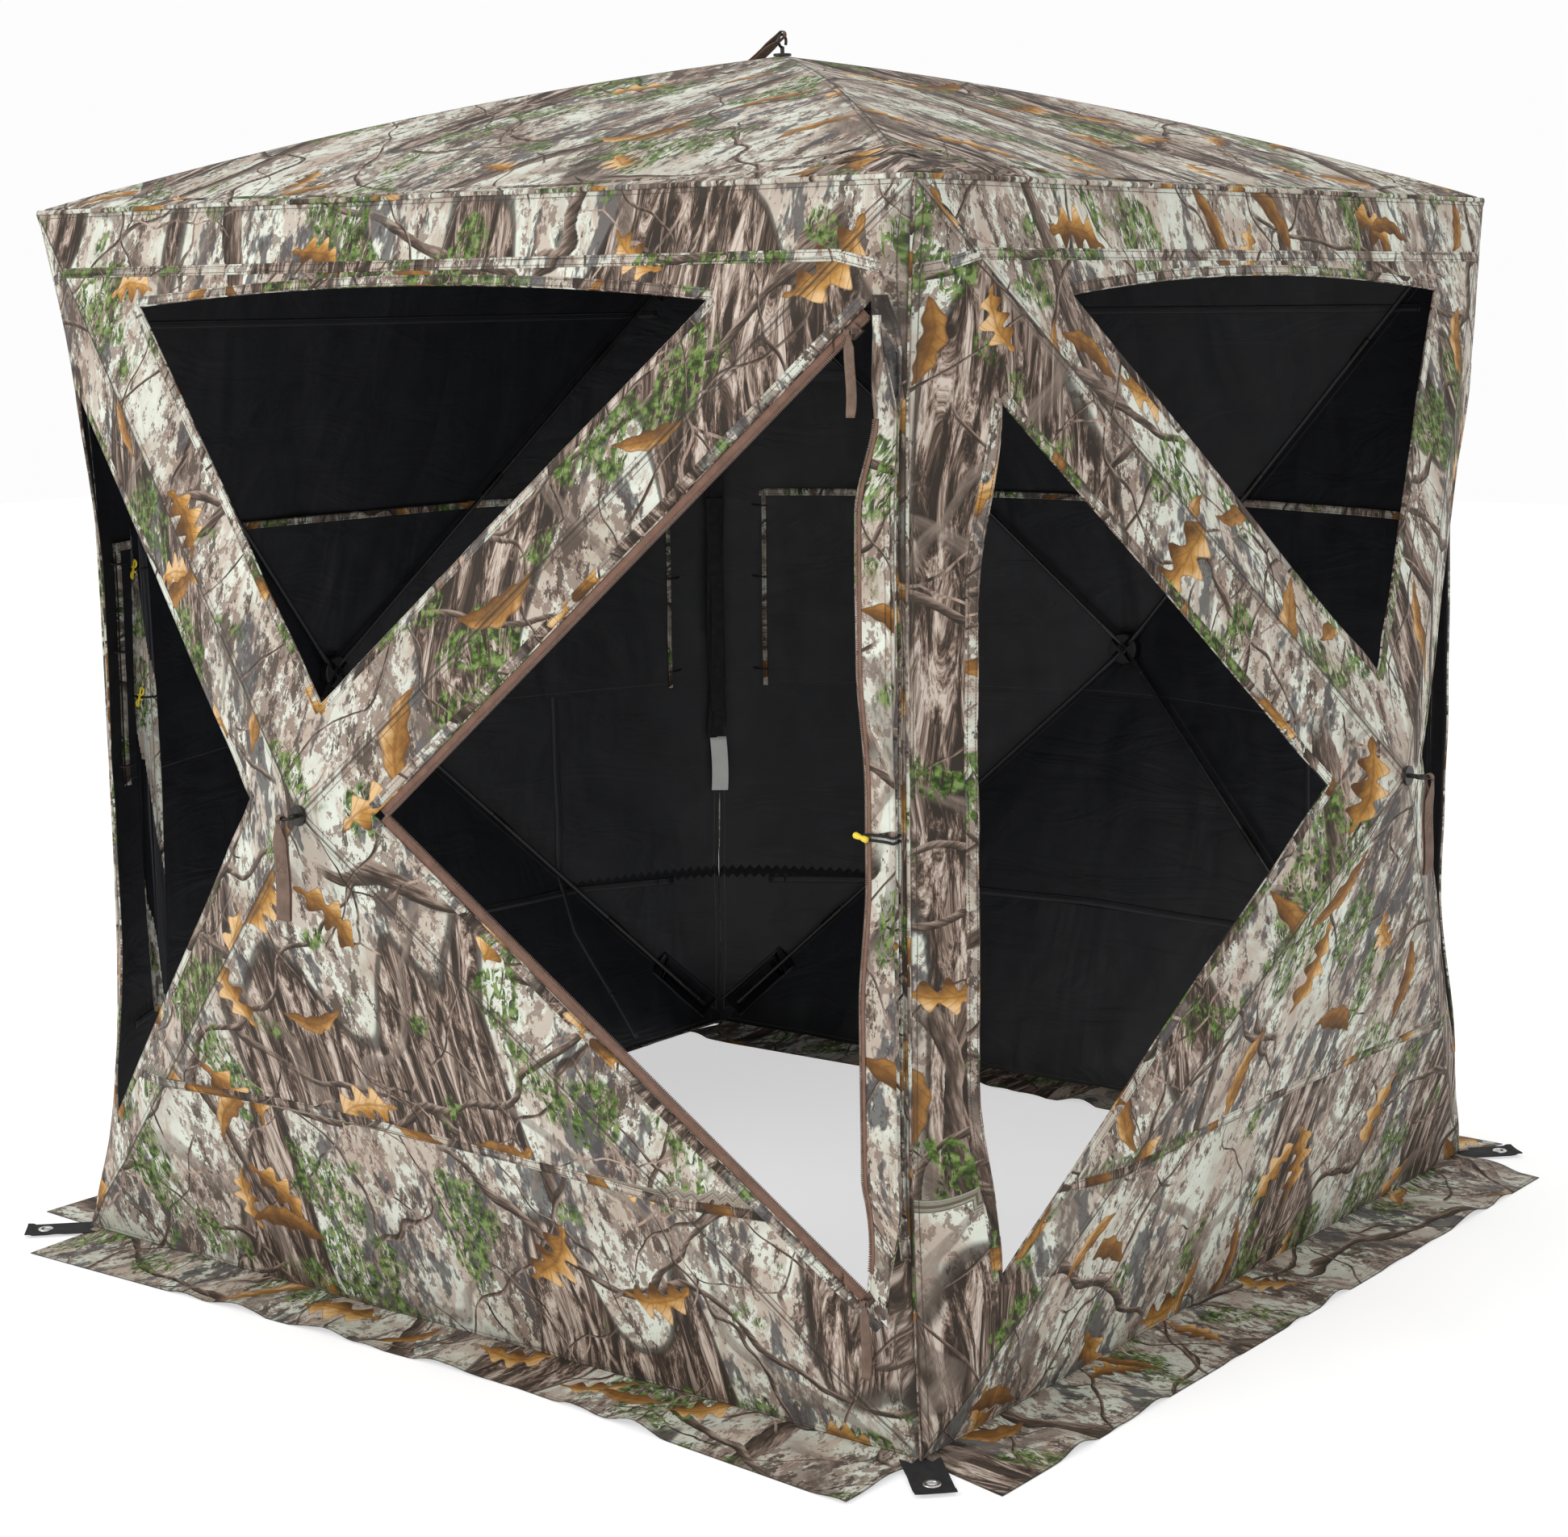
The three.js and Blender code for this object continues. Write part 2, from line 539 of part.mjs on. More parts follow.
// ---- the rolled door, its tie, the gathered window cover and the inner curtains ----
function roundedRing(width, depth, sides = 12) {
  return [...Array(sides).keys()].map((k) => {
    const angle = 2 * Math.PI * k / sides;
    const [c, s] = [Math.cos(angle), Math.sin(angle)];
    return [Math.sign(c) * Math.sqrt(Math.abs(c)) * width / 2, Math.sign(s) * Math.sqrt(Math.abs(s)) * depth / 2];
  });
}

function doorEdge(height) {
  const t = (DOOR[2][1] - height) / (DOOR[2][1] - DOOR[1][1]);
  return outerEdge('door', 1, HALF)(mix(DOOR[2][0], DOOR[1][0], t), height, t);
}

function bundleSection(height) {
  const waist = THREE.MathUtils.clamp((Math.abs(height - HUB_Z) - TIE.waist) / 160, 0, 1);
  const ends = smooth(Math.min(height - BUNDLE.from, BUNDLE.to - height) / 120);
  const width = mix(BUNDLE.waist, BUNDLE.width, smooth(waist)) * mix(0.55, 1, ends);
  const depth = BUNDLE.thickness * mix(0.5, 1, ends);
  const edge = doorEdge(height);
  const seam = HALF - bow(height);
  return { width, depth, x: seam - 4 - width / 2, y: edge.y - BUNDLE.gap - depth / 2 };
}

function addDoorFlap() {
  const count = 22;
  const rings = [...Array(count + 1).keys()].map((k) => {
    const height = mix(BUNDLE.from, BUNDLE.to, k / count);
    const s = bundleSection(height);
    return roundedRing(s.width, s.depth).map(([x, y]) => new THREE.Vector3(s.x + x, s.y + y, height));
  });
  addMesh(blind, 'door_flap', loft(rings), 'camo');
  const s = bundleSection(HUB_Z);
  const inner = roundedRing(s.width + 2 * TIE.clear, s.depth + 2 * TIE.clear, 20);
  const outer = roundedRing(s.width + 2 * (TIE.clear + TIE.thickness), s.depth + 2 * (TIE.clear + TIE.thickness), 20);
  const shape = new THREE.Shape(outer.map(([x, y]) => new THREE.Vector2(x, y)));
  shape.holes = [new THREE.Path(inner.map(([x, y]) => new THREE.Vector2(x, y)).reverse())];
  const tie = new THREE.ExtrudeGeometry(shape, { depth: TIE.height, bevelEnabled: false });
  addMesh(blind, 'door_tie', tie, 'webbing').position.set(s.x, s.y, HUB_Z - TIE.height / 2);
}

function addWindowCover() {
  const count = 10;
  const rings = [...Array(count + 1).keys()].map((k) => {
    const t = k / count;
    const size = 0.6 + 0.4 * Math.sin(Math.PI * t);
    return roundedRing(COVER.across * size, COVER.through * size)
      .map(([x, y]) => new THREE.Vector3(COVER.at + x, COVER.at + y, mix(COVER.from, COVER.to, t)));
  });
  addMesh(blind, 'left_window_cover', loft(rings), 'camo');
}

// A curtain lies just inside its wall, between the fabric and the rods.
function curtain() {
  const top = (CURTAIN.to - HUB_Z) / (WALL_TOP - HUB_Z) * HALF;
  const low = (HUB_Z - CURTAIN.from) / (HUB_Z - WALL_FOOT) * HALF;
  const [hub, up, down, far] = [[0, HUB_Z], CURTAIN.to, CURTAIN.from, CURTAIN.half];
  const pieces = [[hub, [top, up], [-top, up]], [hub, [-low, down], [low, down]],
    [hub, [low, down], [far, down], [far, up], [top, up]], [hub, [-top, up], [-far, up], [-far, down], [-low, down]]];
  const points = [];
  const triangles = [];
  for (const piece of pieces) {
    const first = points.length;
    points.push(...piece.map(([u, v]) => wallPoint(u, facetOut(u, v) - CURTAIN.behind, v)));
    const flat = piece.map(([u, v]) => new THREE.Vector2(u, v));
    for (const t of THREE.ShapeUtils.triangulateShape(flat, [])) triangles.push(t.map((i) => i + first));
  }
  const solid = thicken(points, triangles, new THREE.Vector3(0, CURTAIN.thickness, 0));
  const hole = cylinder(CURTAIN.hubHole, -90, 90).rotateX(Math.PI / 2).translate(0, -HALF - HUB_OUT, HUB_Z);
  return cut(solid, hole);
}

function addCurtains() {
  for (const { name, turn } of WALLS.slice(2)) addMesh(wallGroup(turn), `${name}_curtain`, curtain(), 'lining');
}

addWalls();
addRoof();
addSkirts();
addStakeTabs();
addStation('roof', null);
for (const { name, turn } of WALLS) addStation(name, turn);
addZips();
addDoorFlap();
addWindowCover();
addCurtains();

export default blind;
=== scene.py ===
"""Pop-up ground blind: cloth, trim, hardware detail, materials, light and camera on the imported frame.

Metres, +Z up. Each wall is made in its own frame, x across, y = -(HALF + out), z up, and turned into place.
"""
import math

import bmesh
import bpy
from mathutils import Matrix, Vector, noise
from mathutils.bvhtree import BVHTree
from mathutils.geometry import delaunay_2d_cdt


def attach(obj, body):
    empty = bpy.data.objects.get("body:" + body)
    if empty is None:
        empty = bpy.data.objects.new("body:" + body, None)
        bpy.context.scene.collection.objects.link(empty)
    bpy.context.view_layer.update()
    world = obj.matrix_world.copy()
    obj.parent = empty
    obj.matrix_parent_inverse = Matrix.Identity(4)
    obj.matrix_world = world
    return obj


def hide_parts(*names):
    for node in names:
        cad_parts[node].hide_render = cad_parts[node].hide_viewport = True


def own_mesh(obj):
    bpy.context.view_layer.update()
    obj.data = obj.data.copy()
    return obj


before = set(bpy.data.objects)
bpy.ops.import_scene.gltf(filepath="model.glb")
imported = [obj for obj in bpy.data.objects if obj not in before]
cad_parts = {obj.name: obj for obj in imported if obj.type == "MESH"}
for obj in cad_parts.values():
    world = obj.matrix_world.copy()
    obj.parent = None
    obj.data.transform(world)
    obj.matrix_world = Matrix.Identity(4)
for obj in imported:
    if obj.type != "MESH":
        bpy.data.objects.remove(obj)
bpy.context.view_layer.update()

# ---- sizes, the same as the CAD's ----
HALF = 0.750
CORNER_Z, APEX_Z, ROOF_BULGE = 1.490, 1.702, 0.022
HUB_Z, HUB_OUT = 0.740, 0.248
WALL_TOP, WALL_FOOT = 1.487, 0.0054
FABRIC = 0.0024
CORNER_BOW = 0.043
TOP_WINDOW = [(0, 0.873), (0.490, 1.357), (-0.490, 1.357)]
TOP_WINDOW_ARCH = 0.022
LEFT_WINDOW = [(-0.135, 0.742), (-0.633, 1.237), (-0.633, 0.207)]
RIGHT_WINDOW = [(0.135, 0.742), (0.633, 0.207), (0.633, 1.237)]
DOOR = [(0.099, 0.745), (0.712, 0.164), (0.703, 1.354)]
WINDOW_ACROSS, WINDOW_PULL, WINDOW_TURN = 0.640, 0.028, 0.24
DOOR_STRIP, DOOR_RISE = 0.022, 0.003
DOOR_TURN = 0.12
HUB_HOLE = 0.009
WALLS = [
    ("front", 0, {"top": TOP_WINDOW, "left": LEFT_WINDOW, "right": DOOR}),
    ("right", 1, {"top": TOP_WINDOW, "left": LEFT_WINDOW, "right": RIGHT_WINDOW}),
    ("back", 2, {}),
    ("left", 3, {}),
]
FOLD_OUT = 0.029  # a wall's cloth is cut at this plane into an outer crown and a rim nearer the frame
ROOF_FOLD = 1.516
CELLS = 88  # cells along each rod
BAND = 8  # cells across a band beside a window
WELD = 2e-5  # points of a cloth nearer than this become one
RODS = {"upper_right": (1, 1), "upper_left": (-1, 1), "lower_left": (-1, -1), "lower_right": (1, -1)}


# ---- small helpers ----
def mix(a, b, t):
    return a + (b - a) * t


def smooth(x):
    x = min(max(x, 0.0), 1.0)
    return x * x * (3 - 2 * x)


def rgb(r, g, b):
    """Display values, 0 to 255, as a linear colour."""
    return tuple((c / 255 / 12.92) if c <= 10 else ((c / 255 + 0.055) / 1.055) ** 2.4 for c in (r, g, b)) + (1.0,)


def turned(turn):
    return Matrix.Rotation(turn * math.pi / 2, 4, "Z")


def circle(count):
    """The angles of count points spaced evenly round a ring."""
    return [2 * math.pi * k / count for k in range(count)]


def stepped(low, high, count):
    """count + 1 values from low to high."""
    return [mix(low, high, k / count) for k in range(count + 1)]


# ---- shader graphs ----
class Graph:
    """Shader nodes from short calls. Any input takes a number, a colour or another node's socket."""

    def __init__(self, tree):
        self.tree = tree
        tree.nodes.clear()

    def put(self, target, value):
        if isinstance(value, bpy.types.NodeSocket):
            self.tree.links.new(value, target)
        elif value is not None:
            target.default_value = value

    def node(self, kind, settings=None, **inputs):
        made = self.tree.nodes.new("ShaderNode" + kind)
        for key, value in (settings or {}).items():
            setattr(made, key, value)
        for key, value in inputs.items():
            self.put(made.inputs[key.replace("_", " ")], value)
        return made

    def math(self, what, a, b=None, c=None, clamp=False):
        made = self.tree.nodes.new("ShaderNodeMath")
        made.operation, made.use_clamp = what, clamp
        for k, value in enumerate((a, b, c)):
            self.put(made.inputs[k], value)
        return made.outputs[0]

    def vec(self, what, a, b=None):
        made = self.tree.nodes.new("ShaderNodeVectorMath")
        made.operation = what
        self.put(made.inputs[0], a)
        if what == "SCALE":
            self.put(made.inputs["Scale"], b)
        else:
            self.put(made.inputs[1], b)
        return made.outputs[0]

    def place(self, vector, move=(0, 0, 0), turn=0.0, scale=(1, 1, 1)):
        made = self.node("Mapping", Vector=vector)
        made.inputs["Location"].default_value = move
        made.inputs["Rotation"].default_value = (0, 0, turn)
        made.inputs["Scale"].default_value = scale
        return made.outputs[0]

    def noise(self, vector, scale, detail=2.0, rough=0.5, distort=0.0, colour=False):
        made = self.node("TexNoise", {"noise_dimensions": "2D"}, Vector=vector, Scale=scale, Detail=detail,
                         Roughness=rough, Distortion=distort)
        return made.outputs["Color" if colour else "Fac"]

    def noise3(self, vector, scale, detail=2.0, rough=0.5):
        return self.node("TexNoise", Vector=vector, Scale=scale, Detail=detail, Roughness=rough).outputs["Fac"]

    def step(self, value, low, high):
        """0 below low and 1 above high, with a soft turn; low may be the greater."""
        made = self.node("MapRange", {"interpolation_type": "SMOOTHSTEP"}, Value=value)
        flip = not isinstance(low, bpy.types.NodeSocket) and not isinstance(high, bpy.types.NodeSocket) and low > high
        if flip:
            low, high = high, low
        self.put(made.inputs["From Min"], low)
        self.put(made.inputs["From Max"], high)
        made.inputs["To Min"].default_value = 1.0 if flip else 0.0
        made.inputs["To Max"].default_value = 0.0 if flip else 1.0
        return made.outputs[0]

    def ramp(self, value, *stops):
        made = self.node("ValToRGB", Fac=value)
        elements = made.color_ramp.elements
        while len(elements) < len(stops):
            elements.new(0.5)
        for element, (at, colour) in zip(elements, stops):
            element.position, element.color = at, colour
        return made.outputs[0]

    def blend(self, share, a, b, how="MIX"):
        made = self.tree.nodes.new("ShaderNodeMix")
        made.data_type, made.blend_type = "RGBA", how
        self.put(made.inputs[0], share)
        self.put(made.inputs[6], a)
        self.put(made.inputs[7], b)
        return made.outputs[2]

    def parts(self, vector):
        made = self.node("SeparateXYZ", Vector=vector)
        return made.outputs[0], made.outputs[1]

    def uv(self, name):
        return self.node("UVMap", {"uv_map": name}).outputs[0]


class Look(Graph):
    """A material with one Principled shader."""

    def __init__(self, name):
        self.material = bpy.data.materials.new(name)
        self.material.use_nodes = True
        super().__init__(self.material.node_tree)
        self.shader = self.node("BsdfPrincipled")
        out = self.node("OutputMaterial")
        self.tree.links.new(self.shader.outputs[0], out.inputs[0])

    def finish(self, colour, rough, height=None, depth=0.001, metal=0.0, **fixed):
        self.put(self.shader.inputs["Base Color"], colour)
        self.put(self.shader.inputs["Roughness"], rough)
        self.shader.inputs["Metallic"].default_value = metal
        for key, value in fixed.items():
            self.shader.inputs[key.replace("_", " ")].default_value = value
        if height is not None:
            bump = self.node("Bump", Height=height, Distance=depth, Strength=1.0)
            self.tree.links.new(bump.outputs[0], self.shader.inputs["Normal"])
        return self.material


# ---- the woodland print ----
BARK_DARK, BARK, BARK_LIGHT = rgb(46, 38, 32), rgb(84, 70, 60), rgb(150, 132, 120)


def branch_layer(g, uv, under, turn, gap, half, wobble, chance, seed, soft=0.0, dark=BARK_DARK, mid=BARK,
                 light=BARK_LIGHT):
    """Branches along one direction, wandering, with bark, laid over the colour under."""
    at = g.place(uv, (seed * 1.7, seed * 0.9, 0), turn)
    drift = g.math("SUBTRACT", g.noise(at, 2.1 + 0.15 * seed, 2.5, 0.55), 0.5)
    x, y = g.parts(at)
    y = g.math("MULTIPLY_ADD", drift, wobble, y)
    row = g.math("FLOOR", g.math("DIVIDE", y, gap))
    off = g.math("MULTIPLY", g.math("SUBTRACT", g.math("FRACT", g.math("DIVIDE", y, gap)), 0.5), gap)
    along = g.node("CombineXYZ", X=x, Y=g.math("MULTIPLY", row, 7.31), Z=0.0).outputs[0]
    girth = g.math("MULTIPLY", g.math("MULTIPLY_ADD", g.noise(along, 3.0, 1.0), 1.5, 0.25), half)
    grain = g.noise(g.place(at, scale=(1, 7, 1)), 26, 3.5, 0.65)
    ragged = g.math("MULTIPLY_ADD", g.math("SUBTRACT", grain, 0.5), 0.5 * half, g.math("ABSOLUTE", off))
    edge = max(0.0006, soft)
    inside = g.math("SUBTRACT", girth, ragged)
    mask = g.step(inside, -edge, edge)
    shown = g.step(g.noise(g.vec("ADD", along, (0.3, 4.4, 0.0)), 1.7, 1.0), chance, chance + 0.03)
    mask = g.math("MULTIPLY", mask, shown)
    side = g.math("MULTIPLY_ADD", g.math("DIVIDE", off, g.math("MAXIMUM", girth, 0.0004)), 0.22, grain)
    bark = g.ramp(side, (0.28, dark), (0.52, mid), (0.78, light))
    if soft:
        mask = g.math("MULTIPLY", mask, 0.62)
    return g.blend(mask, under, bark)


def leaf_layer(g, uv, under, scale, length, width, chance, seed, lobes, tones):
    """Fallen leaves, one to a cell, each turned its own way, with a midrib and veins."""
    at = g.vec("ADD", uv, (seed * 3.3, seed * 1.9, 0.0))
    crinkle = g.vec("SCALE", g.vec("SUBTRACT", g.noise(at, 17, 2.0, 0.5, colour=True), (0.5, 0.5, 0.5)), 0.016)
    at = g.vec("ADD", at, crinkle)
    cell = g.node("TexVoronoi", {"voronoi_dimensions": "2D"}, Vector=at, Scale=scale, Randomness=0.85)
    away = g.vec("SUBTRACT", at, cell.outputs["Position"])
    chosen = g.node("SeparateColor", Color=cell.outputs["Color"])
    spin = g.node("VectorRotate", {"rotation_type": "Z_AXIS"}, Vector=away,
                  Angle=g.math("MULTIPLY", chosen.outputs[0], 6.283))
    x, y = g.parts(spin.outputs[0])
    size = g.math("MULTIPLY_ADD", chosen.outputs[2], 0.45, 0.7)
    x = g.math("DIVIDE", x, g.math("MULTIPLY", size, length))
    y = g.math("DIVIDE", y, g.math("MULTIPLY", size, length))
    curve = g.math("MULTIPLY", g.math("MULTIPLY", x, x), 0.28)
    y = g.math("ADD", y, g.math("SUBTRACT", curve, 0.08))
    rise = g.math("SUBTRACT", 1.0, g.math("POWER", g.math("ABSOLUTE", x), 2.2), clamp=True)
    wave = g.math("MULTIPLY_ADD", g.math("SINE", g.math("MULTIPLY_ADD", x, 13.0, 1.1)), lobes, 1.0 - 0.4 * lobes)
    girth = g.math("MULTIPLY", g.math("MULTIPLY", rise, wave), width)
    across = g.math("ABSOLUTE", y)
    inside = g.math("SUBTRACT", girth, across)
    mask = g.math("MULTIPLY", g.step(inside, 0.0, 0.03), g.math("LESS_THAN", chosen.outputs[1], chance))
    patchy = g.noise(at, 40, 3.0, 0.6)
    tone = g.math("ADD", g.math("MULTIPLY_ADD", y, 0.9, 0.30), g.math("MULTIPLY", patchy, 0.55))
    tone = g.math("ADD", tone, g.math("MULTIPLY_ADD", chosen.outputs[0], 0.3, -0.15))
    leaf = g.ramp(tone, *tones)
    vein = g.math("SINE", g.math("SUBTRACT", g.math("MULTIPLY", x, 24.0), g.math("MULTIPLY", across, 30.0)))
    lines = g.math("MAXIMUM", g.step(vein, 0.86, 1.0), g.step(across, 0.045, 0.015))
    leaf = g.blend(g.math("MULTIPLY", lines, 0.42), leaf, rgb(96, 60, 26))
    leaf = g.blend(g.math("MULTIPLY", g.step(inside, 0.075, 0.02), 0.6), leaf, rgb(88, 56, 28))
    return g.blend(mask, under, leaf)


def woodland():
    """The camouflage print as a node group: cloth coordinates in metres to a colour."""
    tree = bpy.data.node_groups.new("woodland", "ShaderNodeTree")
    tree.interface.new_socket("Cloth", in_out="INPUT", socket_type="NodeSocketVector")
    tree.interface.new_socket("Color", in_out="OUTPUT", socket_type="NodeSocketColor")
    g = Graph(tree)
    start, end = tree.nodes.new("NodeGroupInput"), tree.nodes.new("NodeGroupOutput")
    uv = start.outputs[0]
    lean = g.place(uv, turn=0.55, scale=(1.0, 0.42, 1.0))
    # the pale ground with its taupe mottle and smoky patches
    colour = g.ramp(g.noise(uv, 9, 4.0, 0.6), (0.30, rgb(172, 162, 148)), (0.48, rgb(197, 199, 187)),
                    (0.68, rgb(210, 215, 203)))
    blot = g.noise(lean, 15, 5.0, 0.74, 0.4)
    colour = g.blend(g.math("MULTIPLY", g.step(blot, 0.48, 0.56), 0.70), colour, rgb(172, 154, 140))
    dots = g.noise(g.place(uv, turn=0.55, scale=(1.0, 0.68, 1.0)), 66, 4.0, 0.74)
    crowd = g.math("MULTIPLY_ADD", g.noise(lean, 10, 3.0, 0.65), 0.62, -0.31)
    colour = g.blend(g.math("MULTIPLY", g.step(g.math("ADD", dots, crowd), 0.508, 0.548), 0.82), colour,
                     rgb(124, 105, 94))
    fleck = g.noise(g.vec("ADD", lean, (7.0, 1.0, 0)), 44, 4.0, 0.8)
    colour = g.blend(g.math("MULTIPLY", g.step(g.math("ADD", fleck, crowd), 0.590, 0.625), 0.88), colour, rgb(74, 62, 54))
    smoke = g.math("MULTIPLY", g.noise(lean, 6.5, 3.0, 0.6), g.noise(g.vec("ADD", lean, (4.0, 2.0, 0)), 34, 3.0, 0.7))
    colour = g.blend(g.math("MULTIPLY", g.step(smoke, 0.285, 0.345), 0.85), colour, rgb(72, 70, 72))
    # sheets of upright bark
    trunk = g.place(uv, (2.0, 0.0, 0), -0.12, (1.0, 0.16, 1.0))
    region = g.noise(g.place(uv, (5.0, 1.0, 0), -0.12, (1.0, 0.30, 1.0)), 3.4, 1.5, 0.5)
    streak = g.noise(trunk, 54, 5.0, 0.80, 0.5)
    bark = g.ramp(streak, (0.42, BARK_DARK), (0.49, rgb(84, 69, 59)), (0.545, rgb(136, 117, 105)),
                  (0.64, rgb(194, 182, 170)))
    colour = g.blend(g.step(region, 0.594, 0.606), colour, bark)
    colour = g.blend(g.math("MULTIPLY", g.step(g.math("ABSOLUTE", g.math("SUBTRACT", region, 0.599)), 0.010, 0.003), 0.8),
                     colour, BARK_DARK)
    # blurred far branches, then near ones, then twigs
    colour = branch_layer(g, uv, colour, 0.72, 0.30, 0.012, 0.30, 0.44, 3, 0.0035, rgb(92, 80, 72), rgb(116, 102, 92),
                          rgb(138, 124, 112))
    colour = branch_layer(g, uv, colour, -0.95, 0.33, 0.009, 0.34, 0.46, 8, 0.0030, rgb(96, 84, 76), rgb(120, 106, 96),
                          rgb(142, 128, 116))
    for branch in ((1.36, 0.56, 0.015, 0.22, 0.45, 1), (0.30, 0.33, 0.0062, 0.30, 0.47, 2),
                   (-0.62, 0.27, 0.0050, 0.30, 0.46, 5), (2.25, 0.16, 0.0023, 0.22, 0.45, 6),
                   (0.95, 0.15, 0.0020, 0.20, 0.46, 9)):
        colour = branch_layer(g, uv, colour, *branch)
    bent = g.vec("ADD", uv, g.vec("SCALE", g.noise(uv, 5.5, 2.5, 0.55, colour=True), 0.10))
    net = g.node("TexVoronoi", {"voronoi_dimensions": "2D", "feature": "DISTANCE_TO_EDGE"}, Vector=bent, Scale=7.5)
    web = g.math("MULTIPLY", g.step(net.outputs["Distance"], 0.016, 0.009),
                 g.step(g.noise(g.vec("ADD", uv, (9.0, 3.0, 0)), 3.8, 1.5), 0.52, 0.56))
    colour = g.blend(web, colour, g.ramp(blot, (0.40, BARK_DARK), (0.62, rgb(176, 152, 138))))
    # green sprigs: short needles in loose clumps
    clump = g.noise(g.vec("ADD", uv, (1.0, 7.0, 0)), 5.2, 2.5, 0.6)
    needle = g.noise(g.place(uv, turn=0.9, scale=(1.0, 0.35, 1.0)), 120, 3.0, 0.7, 0.8)
    sprig = g.math("MULTIPLY", g.step(clump, 0.580, 0.61), g.step(needle, 0.46, 0.51))
    green = g.ramp(g.noise(uv, 75, 2.0, 0.6), (0.36, rgb(36, 50, 20)), (0.50, rgb(70, 96, 34)),
                   (0.64, rgb(116, 138, 78)))
    colour = g.blend(g.math("MULTIPLY", sprig, 0.95), colour, green)
    # leaves, oak first
    gold = ((0.24, rgb(84, 56, 28)), (0.46, rgb(140, 98, 46)), (0.62, rgb(176, 130, 64)), (0.84, rgb(212, 176, 128)))
    brown = ((0.24, rgb(72, 48, 26)), (0.50, rgb(122, 84, 40)), (0.70, rgb(160, 116, 60)), (0.88, rgb(206, 170, 122)))
    colour = leaf_layer(g, uv, colour, 6.4, 0.060, 0.42, 0.34, 1, 0.42, gold)
    colour = leaf_layer(g, uv, colour, 5.6, 0.068, 0.25, 0.36, 4, 0.12, brown)
    g.put(end.inputs[0], colour)
    return tree


WOODLAND = woodland()
THREAD_DARK, THREAD_PALE = rgb(70, 64, 56), rgb(96, 94, 90)


def weave(g, uv, pitch):
    """Crossed threads of this pitch, as a height from 0 to 1."""
    x, y = g.parts(uv)
    turns = 2 * math.pi / pitch
    a = g.math("SINE", g.math("MULTIPLY", x, turns))
    b = g.math("SINE", g.math("MULTIPLY", y, turns))
    return g.math("MULTIPLY_ADD", g.math("MULTIPLY", a, b), 0.5, 0.5)


def stitches(g, distance, along, at, pitch=0.0042, half=0.00042):
    """A row of stitches at this distance from an edge."""
    near = g.step(g.math("ABSOLUTE", g.math("SUBTRACT", distance, at)), half * 1.5, half * 0.5)
    dash = g.step(g.math("ABSOLUTE", g.math("SUBTRACT", g.math("FRACT", g.math("DIVIDE", along, pitch)), 0.5)), 0.44,
                  0.34)
    return g.math("MULTIPLY", near, dash)


SEAM_ROW, TAPE_ROWS = 0.0065, (0.0030, 0.0105)  # how far rows of stitches run from a seam and a strip's edge


def stitch_rows(g, uv, rows):
    """Rows of stitches: 'seam' beside the seams, 'tape' twin rows along a narrow strip, or none."""
    if rows == "seam":
        x, y = g.parts(uv)
        distance = g.node("Attribute", {"attribute_name": "seam"}).outputs["Fac"]
        return g.math("MAXIMUM", stitches(g, distance, g.math("ADD", x, y), SEAM_ROW),
                      stitches(g, distance, g.math("SUBTRACT", x, y), SEAM_ROW))
    if rows == "tape":
        along, across = g.parts(g.uv("tape"))
        return g.math("MAXIMUM", *(stitches(g, across, along, at) for at in TAPE_ROWS))
    return None


def cloth_height(g, uv, wrinkle):
    """Fine creases and the weave together, in millimetres."""
    crease = g.noise(g.place(uv, turn=0.4, scale=(1.0, 0.35, 1.0)), 26, 3.0, 0.55, 0.6)
    crumple = g.noise(uv, 70, 2.0, 0.5, 0.4)
    height = g.math("MULTIPLY", crease, wrinkle)
    height = g.math("MULTIPLY_ADD", crumple, wrinkle * 0.22, height)
    return g.math("MULTIPLY_ADD", weave(g, uv, 0.0011), 0.05, height)


def camo_look(name, rows, shade=1.0, wrinkle=0.9):
    """The printed cloth, with its rows of stitches."""
    g = Look(name)
    uv = g.uv("cloth")
    print_ = g.node("Group", {"node_tree": WOODLAND}, Cloth=uv).outputs[0]
    colour = g.blend(g.math("MULTIPLY", weave(g, uv, 0.0011), 0.10), print_, rgb(120, 116, 108), "MULTIPLY")
    height = cloth_height(g, uv, wrinkle)
    line = stitch_rows(g, uv, rows)
    if rows == "seam":
        distance = g.node("Attribute", {"attribute_name": "seam"}).outputs["Fac"]
        # painted shade: within 20 mm of a seam the print is darkened a little, and in the seam's crease much more
        crease = g.step(distance, 0.0026, 0.0004)
        colour = g.blend(g.math("MULTIPLY", g.step(distance, 0.020, 0.0), 0.16), colour, rgb(92, 84, 74))
        colour = g.blend(g.math("MULTIPLY", crease, 0.72), colour, rgb(46, 42, 38))
        colour = g.blend(g.math("MULTIPLY", line, 0.8), colour, THREAD_DARK)
        height = g.math("SUBTRACT", height, g.math("MULTIPLY", g.math("MAXIMUM", crease, line), 0.5))
    elif rows == "tape":
        colour = g.blend(g.math("MULTIPLY", line, 0.8), colour, THREAD_DARK)
        height = g.math("SUBTRACT", height, g.math("MULTIPLY", line, 0.5))
        pucker = g.noise(g.place(g.uv("tape"), scale=(1.0, 0.15, 1.0)), 120, 1.0)
        height = g.math("MULTIPLY_ADD", pucker, 0.7, height)
    if shade != 1.0:
        colour = g.blend(1.0, colour, (shade, shade, shade, 1.0), "MULTIPLY")
    rough = g.math("MULTIPLY_ADD", g.noise(uv, 40, 2.0), 0.16, 0.72)
    return g.finish(colour, rough, height, 0.001, Specular_IOR_Level=0.28)


